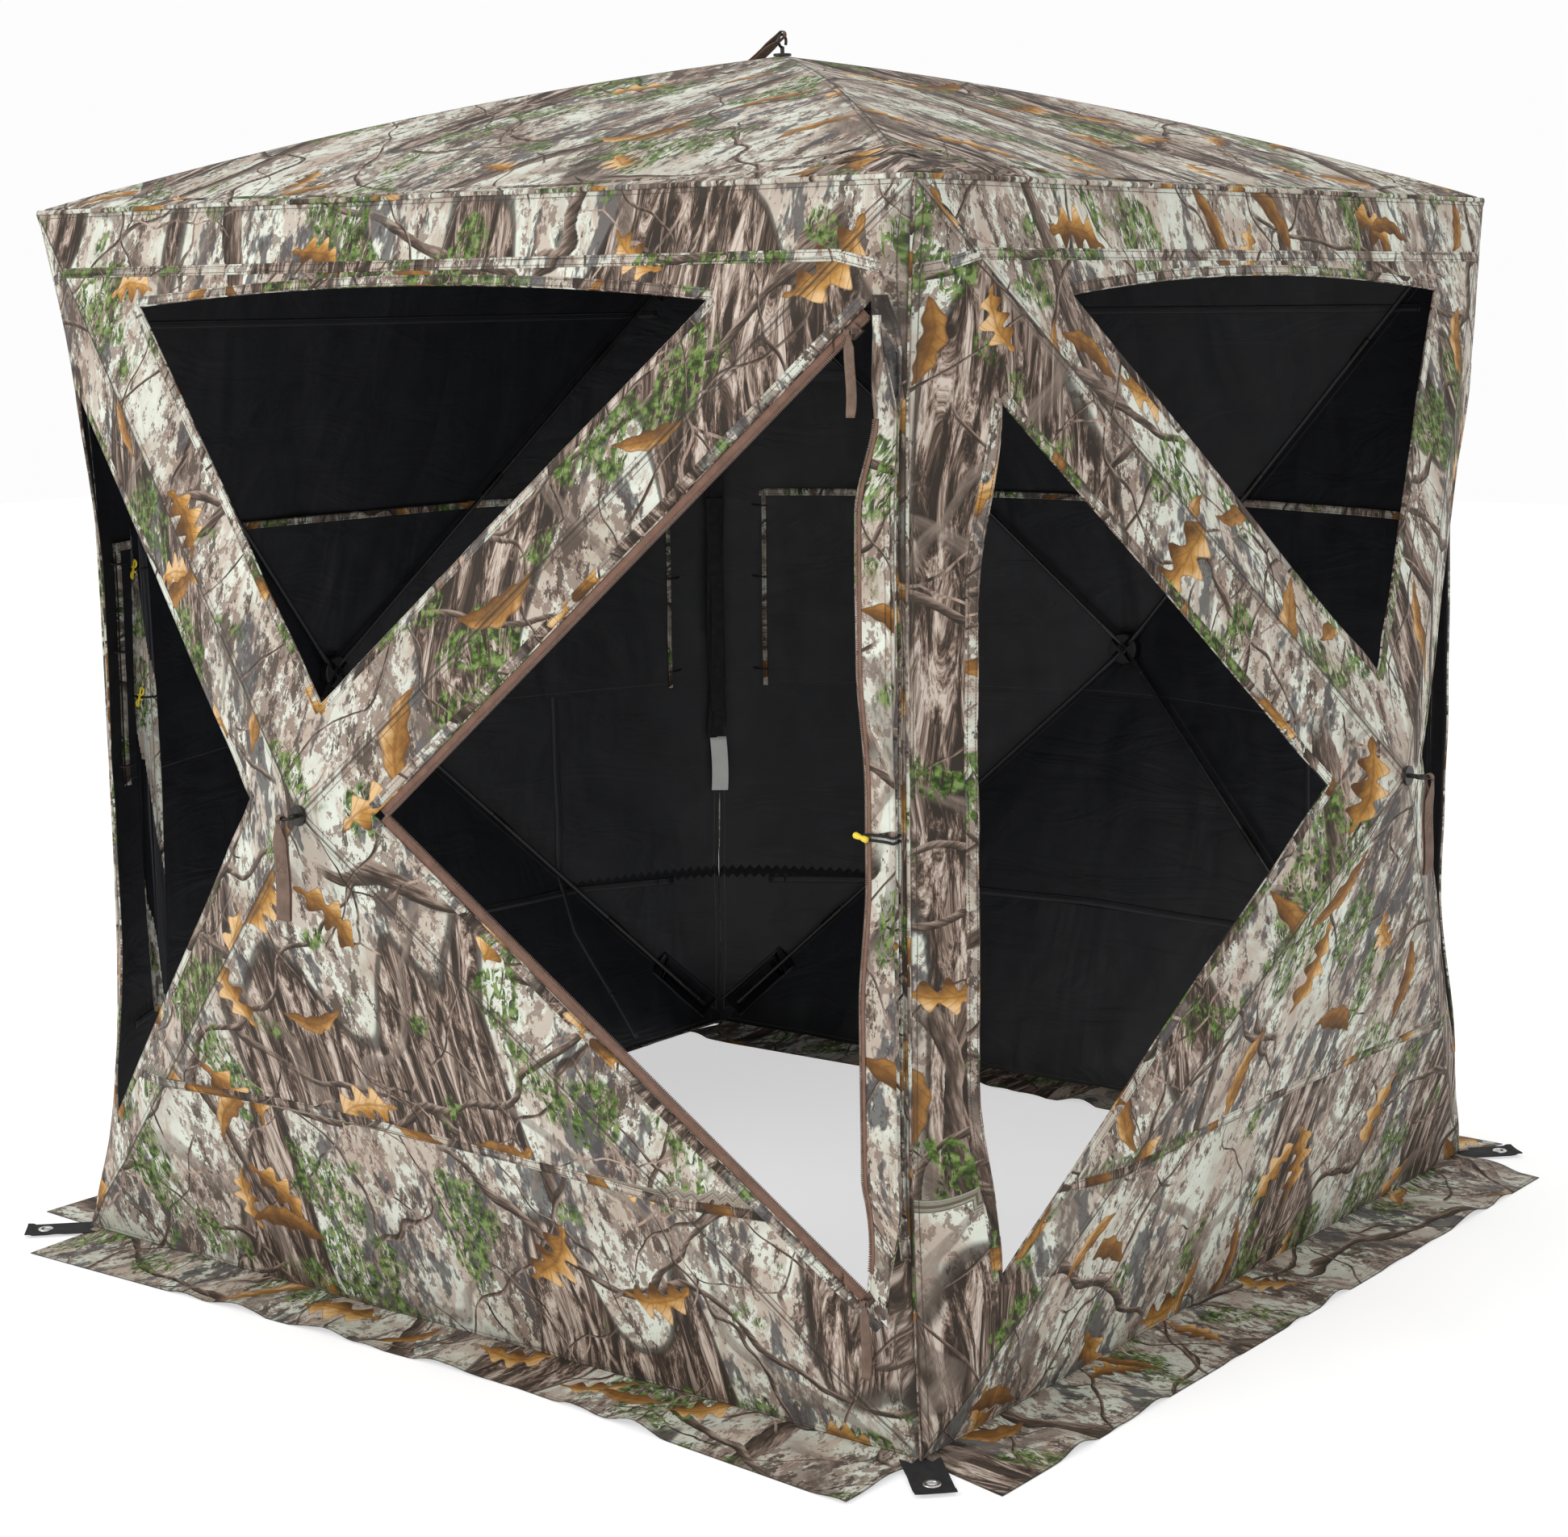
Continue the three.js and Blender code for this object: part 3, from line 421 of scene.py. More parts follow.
def lining_look(name, rows="", wrinkle=1.6, tint=(20, 21, 25)):
    """Black coated cloth with a soft sheen along its wrinkles."""
    g = Look(name)
    uv = g.uv("cloth")
    drift = g.noise(uv, 11, 3.0, 0.6)
    colour = g.ramp(drift, (0.3, rgb(*tint)), (0.7, rgb(*(c + 7 for c in tint))))
    pull = g.noise(g.place(uv, turn=0.25, scale=(0.35, 1.0, 1.0)), 13, 3.5, 0.55, 1.1)
    fold = g.noise(g.place(uv, turn=-0.5, scale=(1.0, 0.4, 1.0)), 7, 2.0, 0.5, 0.8)
    height = g.math("MULTIPLY_ADD", pull, wrinkle * 2.2, g.math("MULTIPLY", fold, wrinkle * 3.0))
    height = g.math("ADD", height, cloth_height(g, uv, wrinkle * 0.5))
    line = stitch_rows(g, uv, rows)
    if line is not None:
        colour = g.blend(g.math("MULTIPLY", line, 0.75), colour, THREAD_PALE)
        height = g.math("SUBTRACT", height, g.math("MULTIPLY", line, 0.5))
    rough = g.math("MULTIPLY_ADD", g.noise(uv, 20, 3.0), 0.2, 0.42)
    return g.finish(colour, rough, height, 0.001, Specular_IOR_Level=0.42)


def webbing_look(name, dark, light, pitch=0.0016, stitched=True):
    """Woven strap: ribs across it and a row of stitches."""
    g = Look(name)
    along, across = g.parts(g.uv("tape"))
    rib = g.math("SINE", g.math("MULTIPLY", along, 2 * math.pi / pitch))
    cord = g.math("SINE", g.math("MULTIPLY", across, 2 * math.pi / (pitch * 1.6)))
    height = g.math("MULTIPLY_ADD", g.math("MULTIPLY", rib, cord), 0.5, 0.5)
    fade = g.noise(g.uv("tape"), 60, 3.0, 0.6)
    # painted shade: the colour follows the ribs' height, lighter on their tops and darker in the grooves; the noise
    # adds uneven fading
    colour = g.ramp(g.math("MULTIPLY_ADD", height, 0.5, g.math("MULTIPLY", fade, 0.5)), (0.2, dark), (0.8, light))
    if stitched:
        line = stitches(g, across, along, 0.0028, 0.0034, 0.0004)
        colour = g.blend(g.math("MULTIPLY", line, 0.6), colour, light)
    return g.finish(colour, 0.82, height, 0.0005, Specular_IOR_Level=0.25)


def hard_look(name, low, high, rough, metal=0.0, grain=300, depth=0.0001, **fixed):
    """Moulded plastic, painted metal or rod: a fine grain, small colour drift and worn patches."""
    g = Look(name)
    at = g.node("TexCoord").outputs["Object"]
    fine, coarse = g.noise3(at, grain, 3.0, 0.6), g.noise3(at, 22, 2.0)
    colour = g.ramp(g.math("MULTIPLY_ADD", fine, 0.5, g.math("MULTIPLY", coarse, 0.5)), (0.3, low), (0.7, high))
    shine = g.math("MULTIPLY_ADD", coarse, 0.22, rough - 0.11)
    return g.finish(colour, shine, fine, depth, metal, **fixed)


def rod_look():
    """Fibreglass rod with faint lengthways fibres."""
    g = Look("rod_fibreglass")
    at = g.node("TexCoord").outputs["Object"]
    fibre = g.noise3(g.place(at, scale=(1, 1, 0.25)), 420, 2.0)
    colour = g.ramp(fibre, (0.3, rgb(22, 22, 24)), (0.7, rgb(44, 44, 48)))
    return g.finish(colour, 0.34, fibre, 0.00006, Specular_IOR_Level=0.5)


LOOK = {
    "camo": camo_look("camo_cloth", "seam"),
    "camo_tape": camo_look("camo_tape", "tape", 0.97, 0.5),
    "camo_loose": camo_look("camo_loose", "", 1.0, 1.4),
    "lining": lining_look("black_lining", "seam"),
    "lining_tape": lining_look("black_tape", "tape", 0.7, (24, 25, 29)),
    "lining_loose": lining_look("black_loose", "", 1.8),
    "brown_webbing": webbing_look("brown_webbing", rgb(78, 62, 54), rgb(134, 112, 98)),
    "black_webbing": webbing_look("black_webbing", rgb(20, 20, 22), rgb(52, 51, 52)),
    "zip_tape": webbing_look("zip_tape", rgb(92, 68, 58), rgb(146, 114, 98), 0.0011),
    "zip_teeth": hard_look("zip_teeth", rgb(84, 64, 54), rgb(128, 102, 88), 0.45),
    "hub": hard_look("hub_plastic", rgb(18, 18, 20), rgb(36, 36, 38), 0.48, 0.0, 600, 0.00015),
    "steel": hard_look("dark_steel", rgb(34, 33, 32), rgb(78, 74, 70), 0.36, 0.85),
    "slider": hard_look("zip_slider", rgb(60, 48, 42), rgb(120, 100, 88), 0.4, 0.5),
    "silver": hard_look("silver_metal", rgb(170, 170, 168), rgb(214, 213, 210), 0.28, 1.0),
    "rod": rod_look(),
    "yellow": hard_look("yellow_plastic", rgb(196, 170, 30), rgb(232, 208, 60), 0.4),
    "label": hard_look("blank_label", rgb(214, 214, 212), rgb(238, 238, 236), 0.6, 0.0, 900),
}


# ---- meshes: points, faces, and for each face corner its place on the cloth and along its tape ----
class Build:
    """Gathers points and faces, then becomes a bmesh. tag is a face's material number."""

    def __init__(self):
        self.points, self.faces, self.cloth, self.tape, self.tags = [], [], [], [], []

    def face(self, corners, cloth, tape=None):
        self.faces.append(corners)
        self.cloth.append(cloth)
        self.tape.append(tape or cloth)
        self.tags.append(0)

    def add(self, points):
        first = len(self.points)
        self.points.extend(Vector(p) for p in points)
        return first

    def grid(self, rows, left_out=lambda corners: False):
        """Quads between rows of (point, cloth place)."""
        first, size = self.add([p for row in rows for p, _ in row]), len(rows[0])
        for r in range(len(rows) - 1):
            for c in range(size - 1):
                spots = ((r, c), (r, c + 1), (r + 1, c + 1), (r + 1, c))
                if not left_out([rows[x][y][0] for x, y in spots]):
                    self.face([first + x * size + y for x, y in spots], [rows[x][y][1] for x, y in spots])

    def fan(self, rows):
        """Triangles between rows of (point, cloth place) that start at one point and grow by one."""
        starts = [self.add([p for p, _ in row]) for row in rows]
        for r in range(len(rows) - 1):
            for c in range(r + 1):
                for tri in (((r, c), (r + 1, c + 1), (r + 1, c)), ((r, c), (r, c + 1), (r + 1, c + 1)))[:1 + (c < r)]:
                    self.face([starts[x] + y for x, y in tri], [rows[x][y][1] for x, y in tri])

    def tube(self, rings, cloth, tape=None, loop=False):
        """A closed skin through rings of points; cloth and tape give each ring point's coordinates."""
        size, count = len(rings[0]), len(rings)
        first = self.add([p for ring in rings for p in ring])
        tape = tape or cloth
        for r in range(count if loop else count - 1):
            n = (r + 1) % count
            for k in range(size):
                m = (k + 1) % size
                spots = ((r, k), (r, m), (n, m), (n, k))
                self.face([first + a * size + b for a, b in spots], [cloth[a][b] for a, b in spots],
                          [tape[a][b] for a, b in spots])
        if not loop:
            for r, order in ((0, range(size - 1, -1, -1)), (count - 1, range(size))):
                self.face([first + r * size + k for k in order], [cloth[r][k] for k in order],
                          [tape[r][k] for k in order])
        return self

    def bm(self, weld=None):
        made = bmesh.new()
        verts = [made.verts.new(p) for p in self.points]
        cloth, tape = made.loops.layers.uv.new("cloth"), made.loops.layers.uv.new("tape")
        for corners, a, b, tag in zip(self.faces, self.cloth, self.tape, self.tags):
            face = made.faces.new([verts[k] for k in corners])
            face.material_index, face.smooth = tag, True
            for loop, p, q in zip(face.loops, a, b):
                loop[cloth].uv, loop[tape].uv = p, q
        if weld:
            bmesh.ops.remove_doubles(made, verts=made.verts, dist=weld)
        return made


def sided(bm, point, normal, outer):
    """A copy of bm on one side of a plane."""
    made = bm.copy()
    bmesh.ops.bisect_plane(made, geom=made.verts[:] + made.edges[:] + made.faces[:], dist=1e-6, plane_co=point,
                           plane_no=normal, clear_outer=not outer, clear_inner=outer)
    return made


def to_object(name, bm, looks, place):
    """A bmesh as a piece, turned into place."""
    bm.transform(place)
    bmesh.ops.recalc_face_normals(bm, faces=bm.faces)
    mesh = bpy.data.meshes.new(name)
    bm.to_mesh(mesh)
    bm.free()
    for look in looks:
        mesh.materials.append(LOOK[look])
    made = bpy.data.objects.new(name, mesh)
    bpy.context.scene.collection.objects.link(made)
    return made


def add_piece(name, build, look, body="root", sharp=None):
    """A hard or small piece that rides on one body."""
    made = to_object(name, build.bm(), [look], Matrix())
    if sharp is not None:
        made.data.shade_smooth()
        made.data.set_sharp_from_angle(angle=math.radians(sharp))
    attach(made, body)
    return made


def closed_cut(bm):
    """Closes the open rings that a cut leaves in closed tubes."""
    bmesh.ops.holes_fill(bm, edges=[e for e in bm.edges if len(e.link_faces) == 1], sides=0)


def split(bm, tag):
    """The two sides of a panel's fold plane that hold any cloth: the part's name, whether it folds, its bmesh."""
    if tag == "roof":
        point, normal = Vector((0, 0, ROOF_FOLD)), Vector((0, 0, 1))
    else:
        point, normal = Vector((0, -HALF - FOLD_OUT, 0)), Vector((0, -1, 0))
    for part, folds in (("crown", True), ("rim", False)):
        half = sided(bm, point, normal, folds)
        if half.faces:
            yield part, folds, half
        else:
            half.free()


def fold_flat(piece, tag, turn):
    """Gives the piece a mesh of its own; nothing here flattens it."""
    if tag == "roof":
        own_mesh(piece)
        return
    out = turned(turn).to_3x3() @ Vector((0, -1, 0))
    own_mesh(piece)


def add_trim(name, build, panel, look, sharp=None):
    """Closed trim on a wall or the roof, cut at the fold plane into an outer and an inner piece. Returns the pieces."""
    tag, turn = panel
    whole = build.bm()
    made = []
    for part, folds, half in split(whole, tag):
        closed_cut(half)
        piece = to_object(f"{name}_{part}", half, [look], turned(turn))
        if sharp is not None:
            piece.data.set_sharp_from_angle(angle=math.radians(sharp))
        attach(piece, "root")
        if folds:
            fold_flat(piece, tag, turn)
        made.append(piece)
    whole.free()
    return made


def shell(name, bm, depth, looks, place):
    """A closed sheet of cloth from an open surface with its own vertex normals; the far side takes the second look."""
    grain = bm.verts.layers.float_vector["normal"]
    seam = bm.verts.layers.float["seam"]
    cloth = bm.loops.layers.uv["cloth"]
    bm.verts.index_update()
    count = len(bm.verts)
    normals = [Vector(v[grain]).normalized() for v in bm.verts]
    points = [v.co.copy() for v in bm.verts] + [v.co - n * depth for v, n in zip(bm.verts, normals)]
    faces, coords, tags, corner_normals = [], [], [], []

    def put(corners, spots, tag, shades):
        faces.append(corners)
        coords.extend(spots)
        tags.append(tag)
        corner_normals.extend(shades)

    for face in bm.faces:
        ids = [loop.vert.index for loop in face.loops]
        spots = [tuple(loop[cloth].uv) for loop in face.loops]
        put(ids, spots, 0, [normals[k] for k in ids])
        put([k + count for k in reversed(ids)], spots[::-1], 1, [-normals[k] for k in reversed(ids)])
        for loop in face.loops:
            if len(loop.edge.link_faces) == 1:
                a, b = loop.vert.index, loop.link_loop_next.vert.index
                level = (points[b] - points[a]).cross(-normals[a]).normalized() * -1
                p, q = tuple(loop[cloth].uv), tuple(loop.link_loop_next[cloth].uv)
                put([b, a, a + count, b + count], [q, p, p, q], 0, [level] * 4)
    mesh = bpy.data.meshes.new(name)
    mesh.from_pydata([place @ p for p in points], [], faces)
    for layer_name in ("cloth", "tape"):
        layer = mesh.uv_layers.new(name=layer_name)
        layer.uv.foreach_set("vector", [x for spot in coords for x in spot])
    # the distance to the nearest seam, which places the stitches and the painted seam shade
    seam_distance = mesh.attributes.new("seam", "FLOAT", "POINT")
    seam_distance.data.foreach_set("value", [v[seam] for v in bm.verts] * 2)
    mesh.polygons.foreach_set("material_index", tags)
    mesh.polygons.foreach_set("use_smooth", [True] * len(tags))
    for look in looks:
        mesh.materials.append(LOOK[look])
    spin = place.to_3x3()
    mesh.normals_split_custom_set([spin @ n for n in corner_normals])
    made = bpy.data.objects.new(name, mesh)
    bpy.context.scene.collection.objects.link(made)
    bm.free()
    return made


def surface(build, seam_of, out, in_hole=None):
    """An open surface ready for shell(): welded, facing out, with its normals and distances to a seam.

    in_hole says from a face's middle whether the face is cut away.
    """
    bm = build.bm(WELD)
    bm.normal_update()
    grain = bm.verts.layers.float_vector.new("normal")
    seam = bm.verts.layers.float.new("seam")
    for v in bm.verts:
        v[seam] = seam_of(v.co)
    if in_hole:
        bmesh.ops.delete(bm, geom=[f for f in bm.faces if in_hole(f.calc_center_median())], context="FACES")
    bmesh.ops.recalc_face_normals(bm, faces=bm.faces)
    if sum(f.normal.dot(out) for f in bm.faces) < 0:
        bmesh.ops.reverse_faces(bm, faces=bm.faces)
    bm.normal_update()
    for v in bm.verts:
        v[grain] = v.normal
    return bm


# ---- the shape of a wall ----
def bow(height):
    middle = (WALL_TOP + WALL_FOOT) / 2
    return CORNER_BOW * max(0.0, 1 - ((height - middle) / (WALL_TOP - middle)) ** 4)


def facet_out(u, v):
    return HUB_OUT * min((HALF - abs(u)) / HALF, (WALL_TOP - v) / (WALL_TOP - HUB_Z),
                         (v - WALL_FOOT) / (HUB_Z - WALL_FOOT))


def wall_point(u, out, v):
    return Vector((u, -HALF - out, v))


def outer_edge(kind, side, u, v, t):
    """Where a side window's or the door's outer edge runs, pulled in between its two corners."""
    turn = smooth(min(t, 1 - t) / (DOOR_TURN if kind == "door" else WINDOW_TURN))
    out = facet_out(u, v)
    if kind == "door":
        return wall_point(side * mix(abs(u), HALF - bow(v) - DOOR_STRIP, turn), mix(out, DOOR_RISE - bow(v), turn), v)
    return wall_point(side * mix(abs(u), WINDOW_ACROSS, turn), out - WINDOW_PULL * turn, v)


CORNERS = [(HALF, WALL_TOP), (-HALF, WALL_TOP), (-HALF, WALL_FOOT), (HALF, WALL_FOOT)]
FACETS = {"top": (0, 1), "left": (1, 2), "bottom": (2, 3), "right": (3, 0)}


def to_line(p, a, b):
    (x, y), (ax, ay), (bx, by) = p, a, b
    dx, dy = bx - ax, by - ay
    t = min(max(((x - ax) * dx + (y - ay) * dy) / (dx * dx + dy * dy), 0), 1)
    return math.hypot(x - ax - t * dx, y - ay - t * dy)


def rod_distance(u, v):
    return min(to_line((u, v), (0, HUB_Z), c) for c in CORNERS)


def wall_seam(p):
    """Distance to the nearest rod seam or border of the wall."""
    u, v = p.x, p.z
    return min(rod_distance(u, v), WALL_TOP - v, v - WALL_FOOT, abs(HALF - bow(v) - abs(u)))


def ripple(u, v, seed):
    """How far tight cloth stands off its plane between the seams."""
    hold = smooth(rod_distance(u, v) / 0.09)
    about, away = math.atan2(v - HUB_Z, u), math.hypot(u, v - HUB_Z)
    spokes = noise.noise(Vector((about * 5.5, away * 1.2, seed))) * 0.0026 * hold
    slack = noise.noise(Vector((u * 3.3, v * 3.3, seed + 20))) * 0.0042 * hold
    fine = noise.noise(Vector((u * 13 + v * 4, v * 8 - u * 3, seed + 40))) * 0.0012 * hold
    band = math.exp(-abs(v - 1.385) / 0.022) * noise.noise(Vector((u * 34, 3.0, seed))) * 0.0016
    foot = smooth((0.20 - v) / 0.20) * smooth(v / 0.05)
    drape = foot * (noise.noise(Vector((u * 7, v * 2.5, seed + 60))) * 0.013
                    + noise.noise(Vector((u * 19, v * 4, seed + 70))) * 0.005)
    return spokes + slack + fine + band + drape


PANEL_SHIFT = {"top": (0.0, 0.0), "left": (3.1, 0.7), "bottom": (0.0, 0.0), "right": (0.0, 0.0)}


def cloth_at(turn, place, u, v):
    """Where a wall's point falls on the printed cloth; the panels are cut from different lengths."""
    dx, dy = PANEL_SHIFT[place]
    if v < 0.302:
        dx += 1.37
    return (u + 2.3 * turn + dx, v + 0.61 * turn + dy)


def wall_surface(turn, openings):
    """The outer face of a wall as one open surface, with its windows and door left open."""
    build = Build()
    steps = [k / CELLS for k in range(CELLS + 1)]
    hub = (0.0, HUB_Z)

    def rippled(p, place):
        q = p.copy()
        q.y -= ripple(p.x, p.z, turn * 7.0)
        return q, cloth_at(turn, place, p.x, p.z)

    for place, (i, j) in FACETS.items():
        opening = openings.get(place)
        side = {"left": -1, "right": 1}.get(place, 0)
        corners = [hub, CORNERS[i], CORNERS[j]]
        if opening:
            kind = "door" if opening is DOOR else "window"
            for k in range(3):
                a, b = corners[k], corners[(k + 1) % 3]
                p, q = opening[k], opening[(k + 1) % 3]
                rows = []
                for t in steps:
                    u, v = mix(a[0], b[0], t), mix(a[1], b[1], t)
                    outer = wall_point(u, facet_out(u, v), v)
                    if k == 1 and side:
                        outer = wall_point(side * (HALF - bow(v)), -bow(v), v)
                    u, v = mix(p[0], q[0], t), mix(p[1], q[1], t)
                    if k == 1 and not side:
                        v += TOP_WINDOW_ARCH * (1 - (2 * t - 1) ** 2)
                    inner = wall_point(u, facet_out(u, v), v)
                    if k == 1 and side:
                        inner = outer_edge(kind, side, u, v, t)
                    rows.append([rippled(outer.lerp(inner, s / BAND), place) for s in range(BAND + 1)])
                build.grid(rows)
        else:
            rows = []
            for r in range(CELLS + 1):
                row = []
                for c in range(r + 1):
                    t, far = (c / r if r else 0), r / CELLS
                    u = mix(corners[1][0], corners[2][0], t)
                    v = mix(corners[1][1], corners[2][1], t)
                    x, z = u * far, HUB_Z + (v - HUB_Z) * far
                    p = wall_point(x, facet_out(x, z), z)
                    if side:
                        pull = bow(v) * far ** 6
                        p += Vector((-side * pull, pull, 0))
                    row.append(rippled(p, place))
                rows.append(row)
            build.fan(rows)
    hub_tip = Vector((0, -HALF - HUB_OUT, HUB_Z))
    return surface(build, wall_seam, Vector((0, -1, 0)), lambda middle: (middle - hub_tip).length < HUB_HOLE)


SKIN = {}  # the outer faces of the walls and the roof, for laying trim on them


def declare_part(area, size, tag):
    """Works out how large a part of a wall or roof was cut, a border strip round the frame when there is no size;
    nothing is done with the result.
    """
    if size is None:
        size = (round(area / (8 * HALF), 4), 8 * HALF)
    area = min(area, size[0] * size[1])


def add_panel(tag, turn, bm, size, node):
    """A wall or the roof as closed shells on both sides of its fold plane; size is the folding part's span."""
    SKIN[tag] = BVHTree.FromBMesh(bm)
    for part, folds, half in split(bm, tag):
        area = sum(f.calc_area() for f in half.faces)
        piece = shell(f"{node}_{part}", half, FABRIC, ["camo", "lining"], turned(turn))
        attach(piece, "root")
        declare_part(area, size if folds else None, tag)
        if folds:
            fold_flat(piece, tag, turn)
    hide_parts(node)
    bm.free()


# ---- the roof ----
def roof_z(x, y):
    far = max(abs(x), abs(y)) / HALF
    ridge = min(abs(x), abs(y)) / HALF / far if far > 0 else 1
    return CORNER_Z + (APEX_Z - CORNER_Z) * (1 - far) + ROOF_BULGE * 4 * far * (1 - far) * (0.45 + 0.55 * ridge)


def roof_ridge(x, y):
    return min(abs(x - y), abs(x + y)) / math.sqrt(2)


def roof_rim_line(along):
    """How far inside the roof's edge its long seam runs, at a place along the edge."""
    return 0.012 + 0.030 * (abs(along) / HALF) ** 2.2 + 0.022 * smooth((abs(along) - 0.45) / 0.25)


def roof_seam(p):
    far = max(abs(p.x), abs(p.y))
    return min(roof_ridge(p.x, p.y), HALF - far)


def roof_surface():
    build = Build()
    cells = 84
    for quarter in range(4):
        spin = Matrix.Rotation(quarter * math.pi / 2, 3, "Z")
        rows = []
        for r in range(cells + 1):
            far = r / cells
            row = []
            for c in range(r + 1):
                t = c / r if r else 0.5
                x, y = far * HALF * (2 * t - 1), -far * HALF
                hold = smooth(roof_ridge(x, y) / 0.08) * smooth((HALF + y) / 0.03)
                lift = (noise.noise(Vector((x * 2.8, y * 2.8, quarter + 3))) * 0.006
                        + noise.noise(Vector((math.atan2(x, -y) * 6, far, quarter))) * 0.0025) * hold
                p = spin @ Vector((x, y, 0))
                row.append(((p.x, p.y, roof_z(x, y) + lift), (x + 1.9 * quarter, -y * 1.04 + 4.0)))
            rows.append(row)
        build.fan(rows)
    apex = Vector((0, 0, APEX_Z))
    return surface(build, roof_seam, Vector((0, 0, 1)), lambda middle: (middle - apex).length < HUB_HOLE)


# ---- trim laid on a wall or the roof ----
def touch(tag, a, b):
    """The outer face's point and normal over a place: across and height on a wall, x and y on the roof."""
    if tag == "roof":
        hit = SKIN[tag].ray_cast(Vector((a, b, 3)), Vector((0, 0, -1)))
    else:
        hit = SKIN[tag].ray_cast(Vector((a, -HALF - 1, b)), Vector((0, 1, 0)))
    return (hit[0], hit[1]) if hit[0] is not None else None


LAY_STEP = 0.012  # how far apart the points of laid trim are


def spread(points, step):
    """The same line with a point every step or so."""
    fine = []
    for a, b in zip(points, points[1:]):
        count = max(1, round(math.dist(a, b) / step))
        fine += [(mix(a[0], b[0], k / count), mix(a[1], b[1], k / count)) for k in range(count)]
    return fine + [points[-1]]


def lay(build, tag, line, width, lift, inside=False, shift=(0, 0)):
    """A flat strip laid along a line on the cloth, in as many lengths as the openings leave."""
    line = spread(line, LAY_STEP)
    run, runs = [], []
    for k, (a, b) in enumerate(line):
        before, after = line[max(k - 1, 0)], line[min(k + 1, len(line) - 1)]
        dx, dy = after[0] - before[0], after[1] - before[1]
        size = math.hypot(dx, dy)
        px, py = -dy / size * width / 2, dx / size * width / 2
        hits = [touch(tag, a + s * px, b + s * py) for s in (-1, 0, 1)]
        if all(hits):
            run.append(((a, b), (px, py), hits))
        elif run:
            runs.append(run)
            run = []
    runs.append(run)
    base = -(FABRIC + 0.00005) if inside else -0.0003
    for run in runs:
        if len(run) < 3:
            continue
        rings, cloth, tape, along = [], [], [], 0.0
        for k, ((a, b), (px, py), hits) in enumerate(run):
            if k:
                along += (hits[1][0] - run[k - 1][2][1][0]).length
            sign = -1 if inside else 1
            (lp, ln), (cp, cn), (rp, rn) = hits
            foot, shoulder, crest = (base + (0.0004 if inside else 0), base + sign * (lift + 0.0003),
                                     base + sign * (lift + 0.0005))
            rings.append([lp + ln * foot, lp.lerp(cp, 0.08) + ln * shoulder, cp + cn * crest,
                          rp.lerp(cp, 0.08) + rn * shoulder, rp + rn * foot])
            cloth.append([(a + s * px + shift[0], b + s * py + shift[1]) for s in (-1, -0.9, 0, 0.9, 1)])
            tape.append([(along, x * width) for x in (0, 0.05, 0.5, 0.95, 1)])
        build.tube(rings, cloth, tape)
    return build


def laid_patch(build, tag, outline, lift, inside=False, shift=(0, 0)):
    """A flat patch of cloth with this outline, laid on the face."""
    middle = (sum(p[0] for p in outline) / len(outline), sum(p[1] for p in outline) / len(outline))
    rim = spread(outline + [outline[0]], LAY_STEP)[:-1]
    base = -(FABRIC + 0.00005) if inside else 0.0
    sign = -1 if inside else 1
    levels = (1.0, 0.97, 0.66, 0.33)
    rings = []
    for share in levels:
        ring = []
        for p in rim:
            a, b = mix(middle[0], p[0], share), mix(middle[1], p[1], share)
            hit = touch(tag, a, b)
            if not hit:
                return build
            high = -0.0002 * sign if share == 1.0 else lift * sign
            ring.append((hit[0] + hit[1] * (base + high), (a + shift[0], b + shift[1])))
        rings.append(ring)
    hit = touch(tag, *middle)
    if not hit:
        return build
    first = build.add([c[0] for ring in rings for c in ring])
    size = len(rim)
    for r in range(len(levels) - 1):
        for k in range(size):
            spots = ((r, k), (r, (k + 1) % size), (r + 1, (k + 1) % size), (r + 1, k))
            build.face([first + x * size + y for x, y in spots], [rings[x][y][1] for x, y in spots],
                       [(0.02, 0.02)] * 4)
    top = build.add([hit[0] + hit[1] * (base + lift * sign)])
    last = first + (len(levels) - 1) * size
    for k in range(size):
        m = (k + 1) % size
        build.face([last + k, last + m, top],
                   [rings[-1][k][1], rings[-1][m][1], (middle[0] + shift[0], middle[1] + shift[1])],
                   [(0.02, 0.02)] * 3)
    return build


# ---- trim on the walls ----
def inner_edge(opening, k, side, kind):
    """One edge of a window or of the door, as its line on the wall."""
    p, q = opening[k], opening[(k + 1) % 3]
    line = []
    for t in [x / 40 for x in range(41)]:
        u, v = mix(p[0], q[0], t), mix(p[1], q[1], t)
        if k == 1 and not side:
            v += TOP_WINDOW_ARCH * (1 - (2 * t - 1) ** 2)
        if k == 1 and side:
            u = outer_edge(kind, side, u, v, t).x
        line.append((u, v))
    return line


def moved_off(line, middle, far):
    """The line moved away from a point by far, and drawn out a little at both ends."""
    out = []
    for k, (a, b) in enumerate(line):
        before, after = line[max(k - 1, 0)], line[min(k + 1, len(line) - 1)]
        dx, dy = after[0] - before[0], after[1] - before[1]
        size = math.hypot(dx, dy)
        px, py = -dy / size, dx / size
        if (a - middle[0]) * px + (b - middle[1]) * py < 0:
            px, py = -px, -py
        out.append((a + px * far, b + py * far))
    first, last = out[0], out[-1]
    dx, dy = last[0] - first[0], last[1] - first[1]
    size = math.hypot(dx, dy)
    out[0] = (first[0] - dx / size * 0.006, first[1] - dy / size * 0.006)
    out[-1] = (last[0] + dx / size * 0.006, last[1] + dy / size * 0.006)
    return out


BINDING = 0.0125


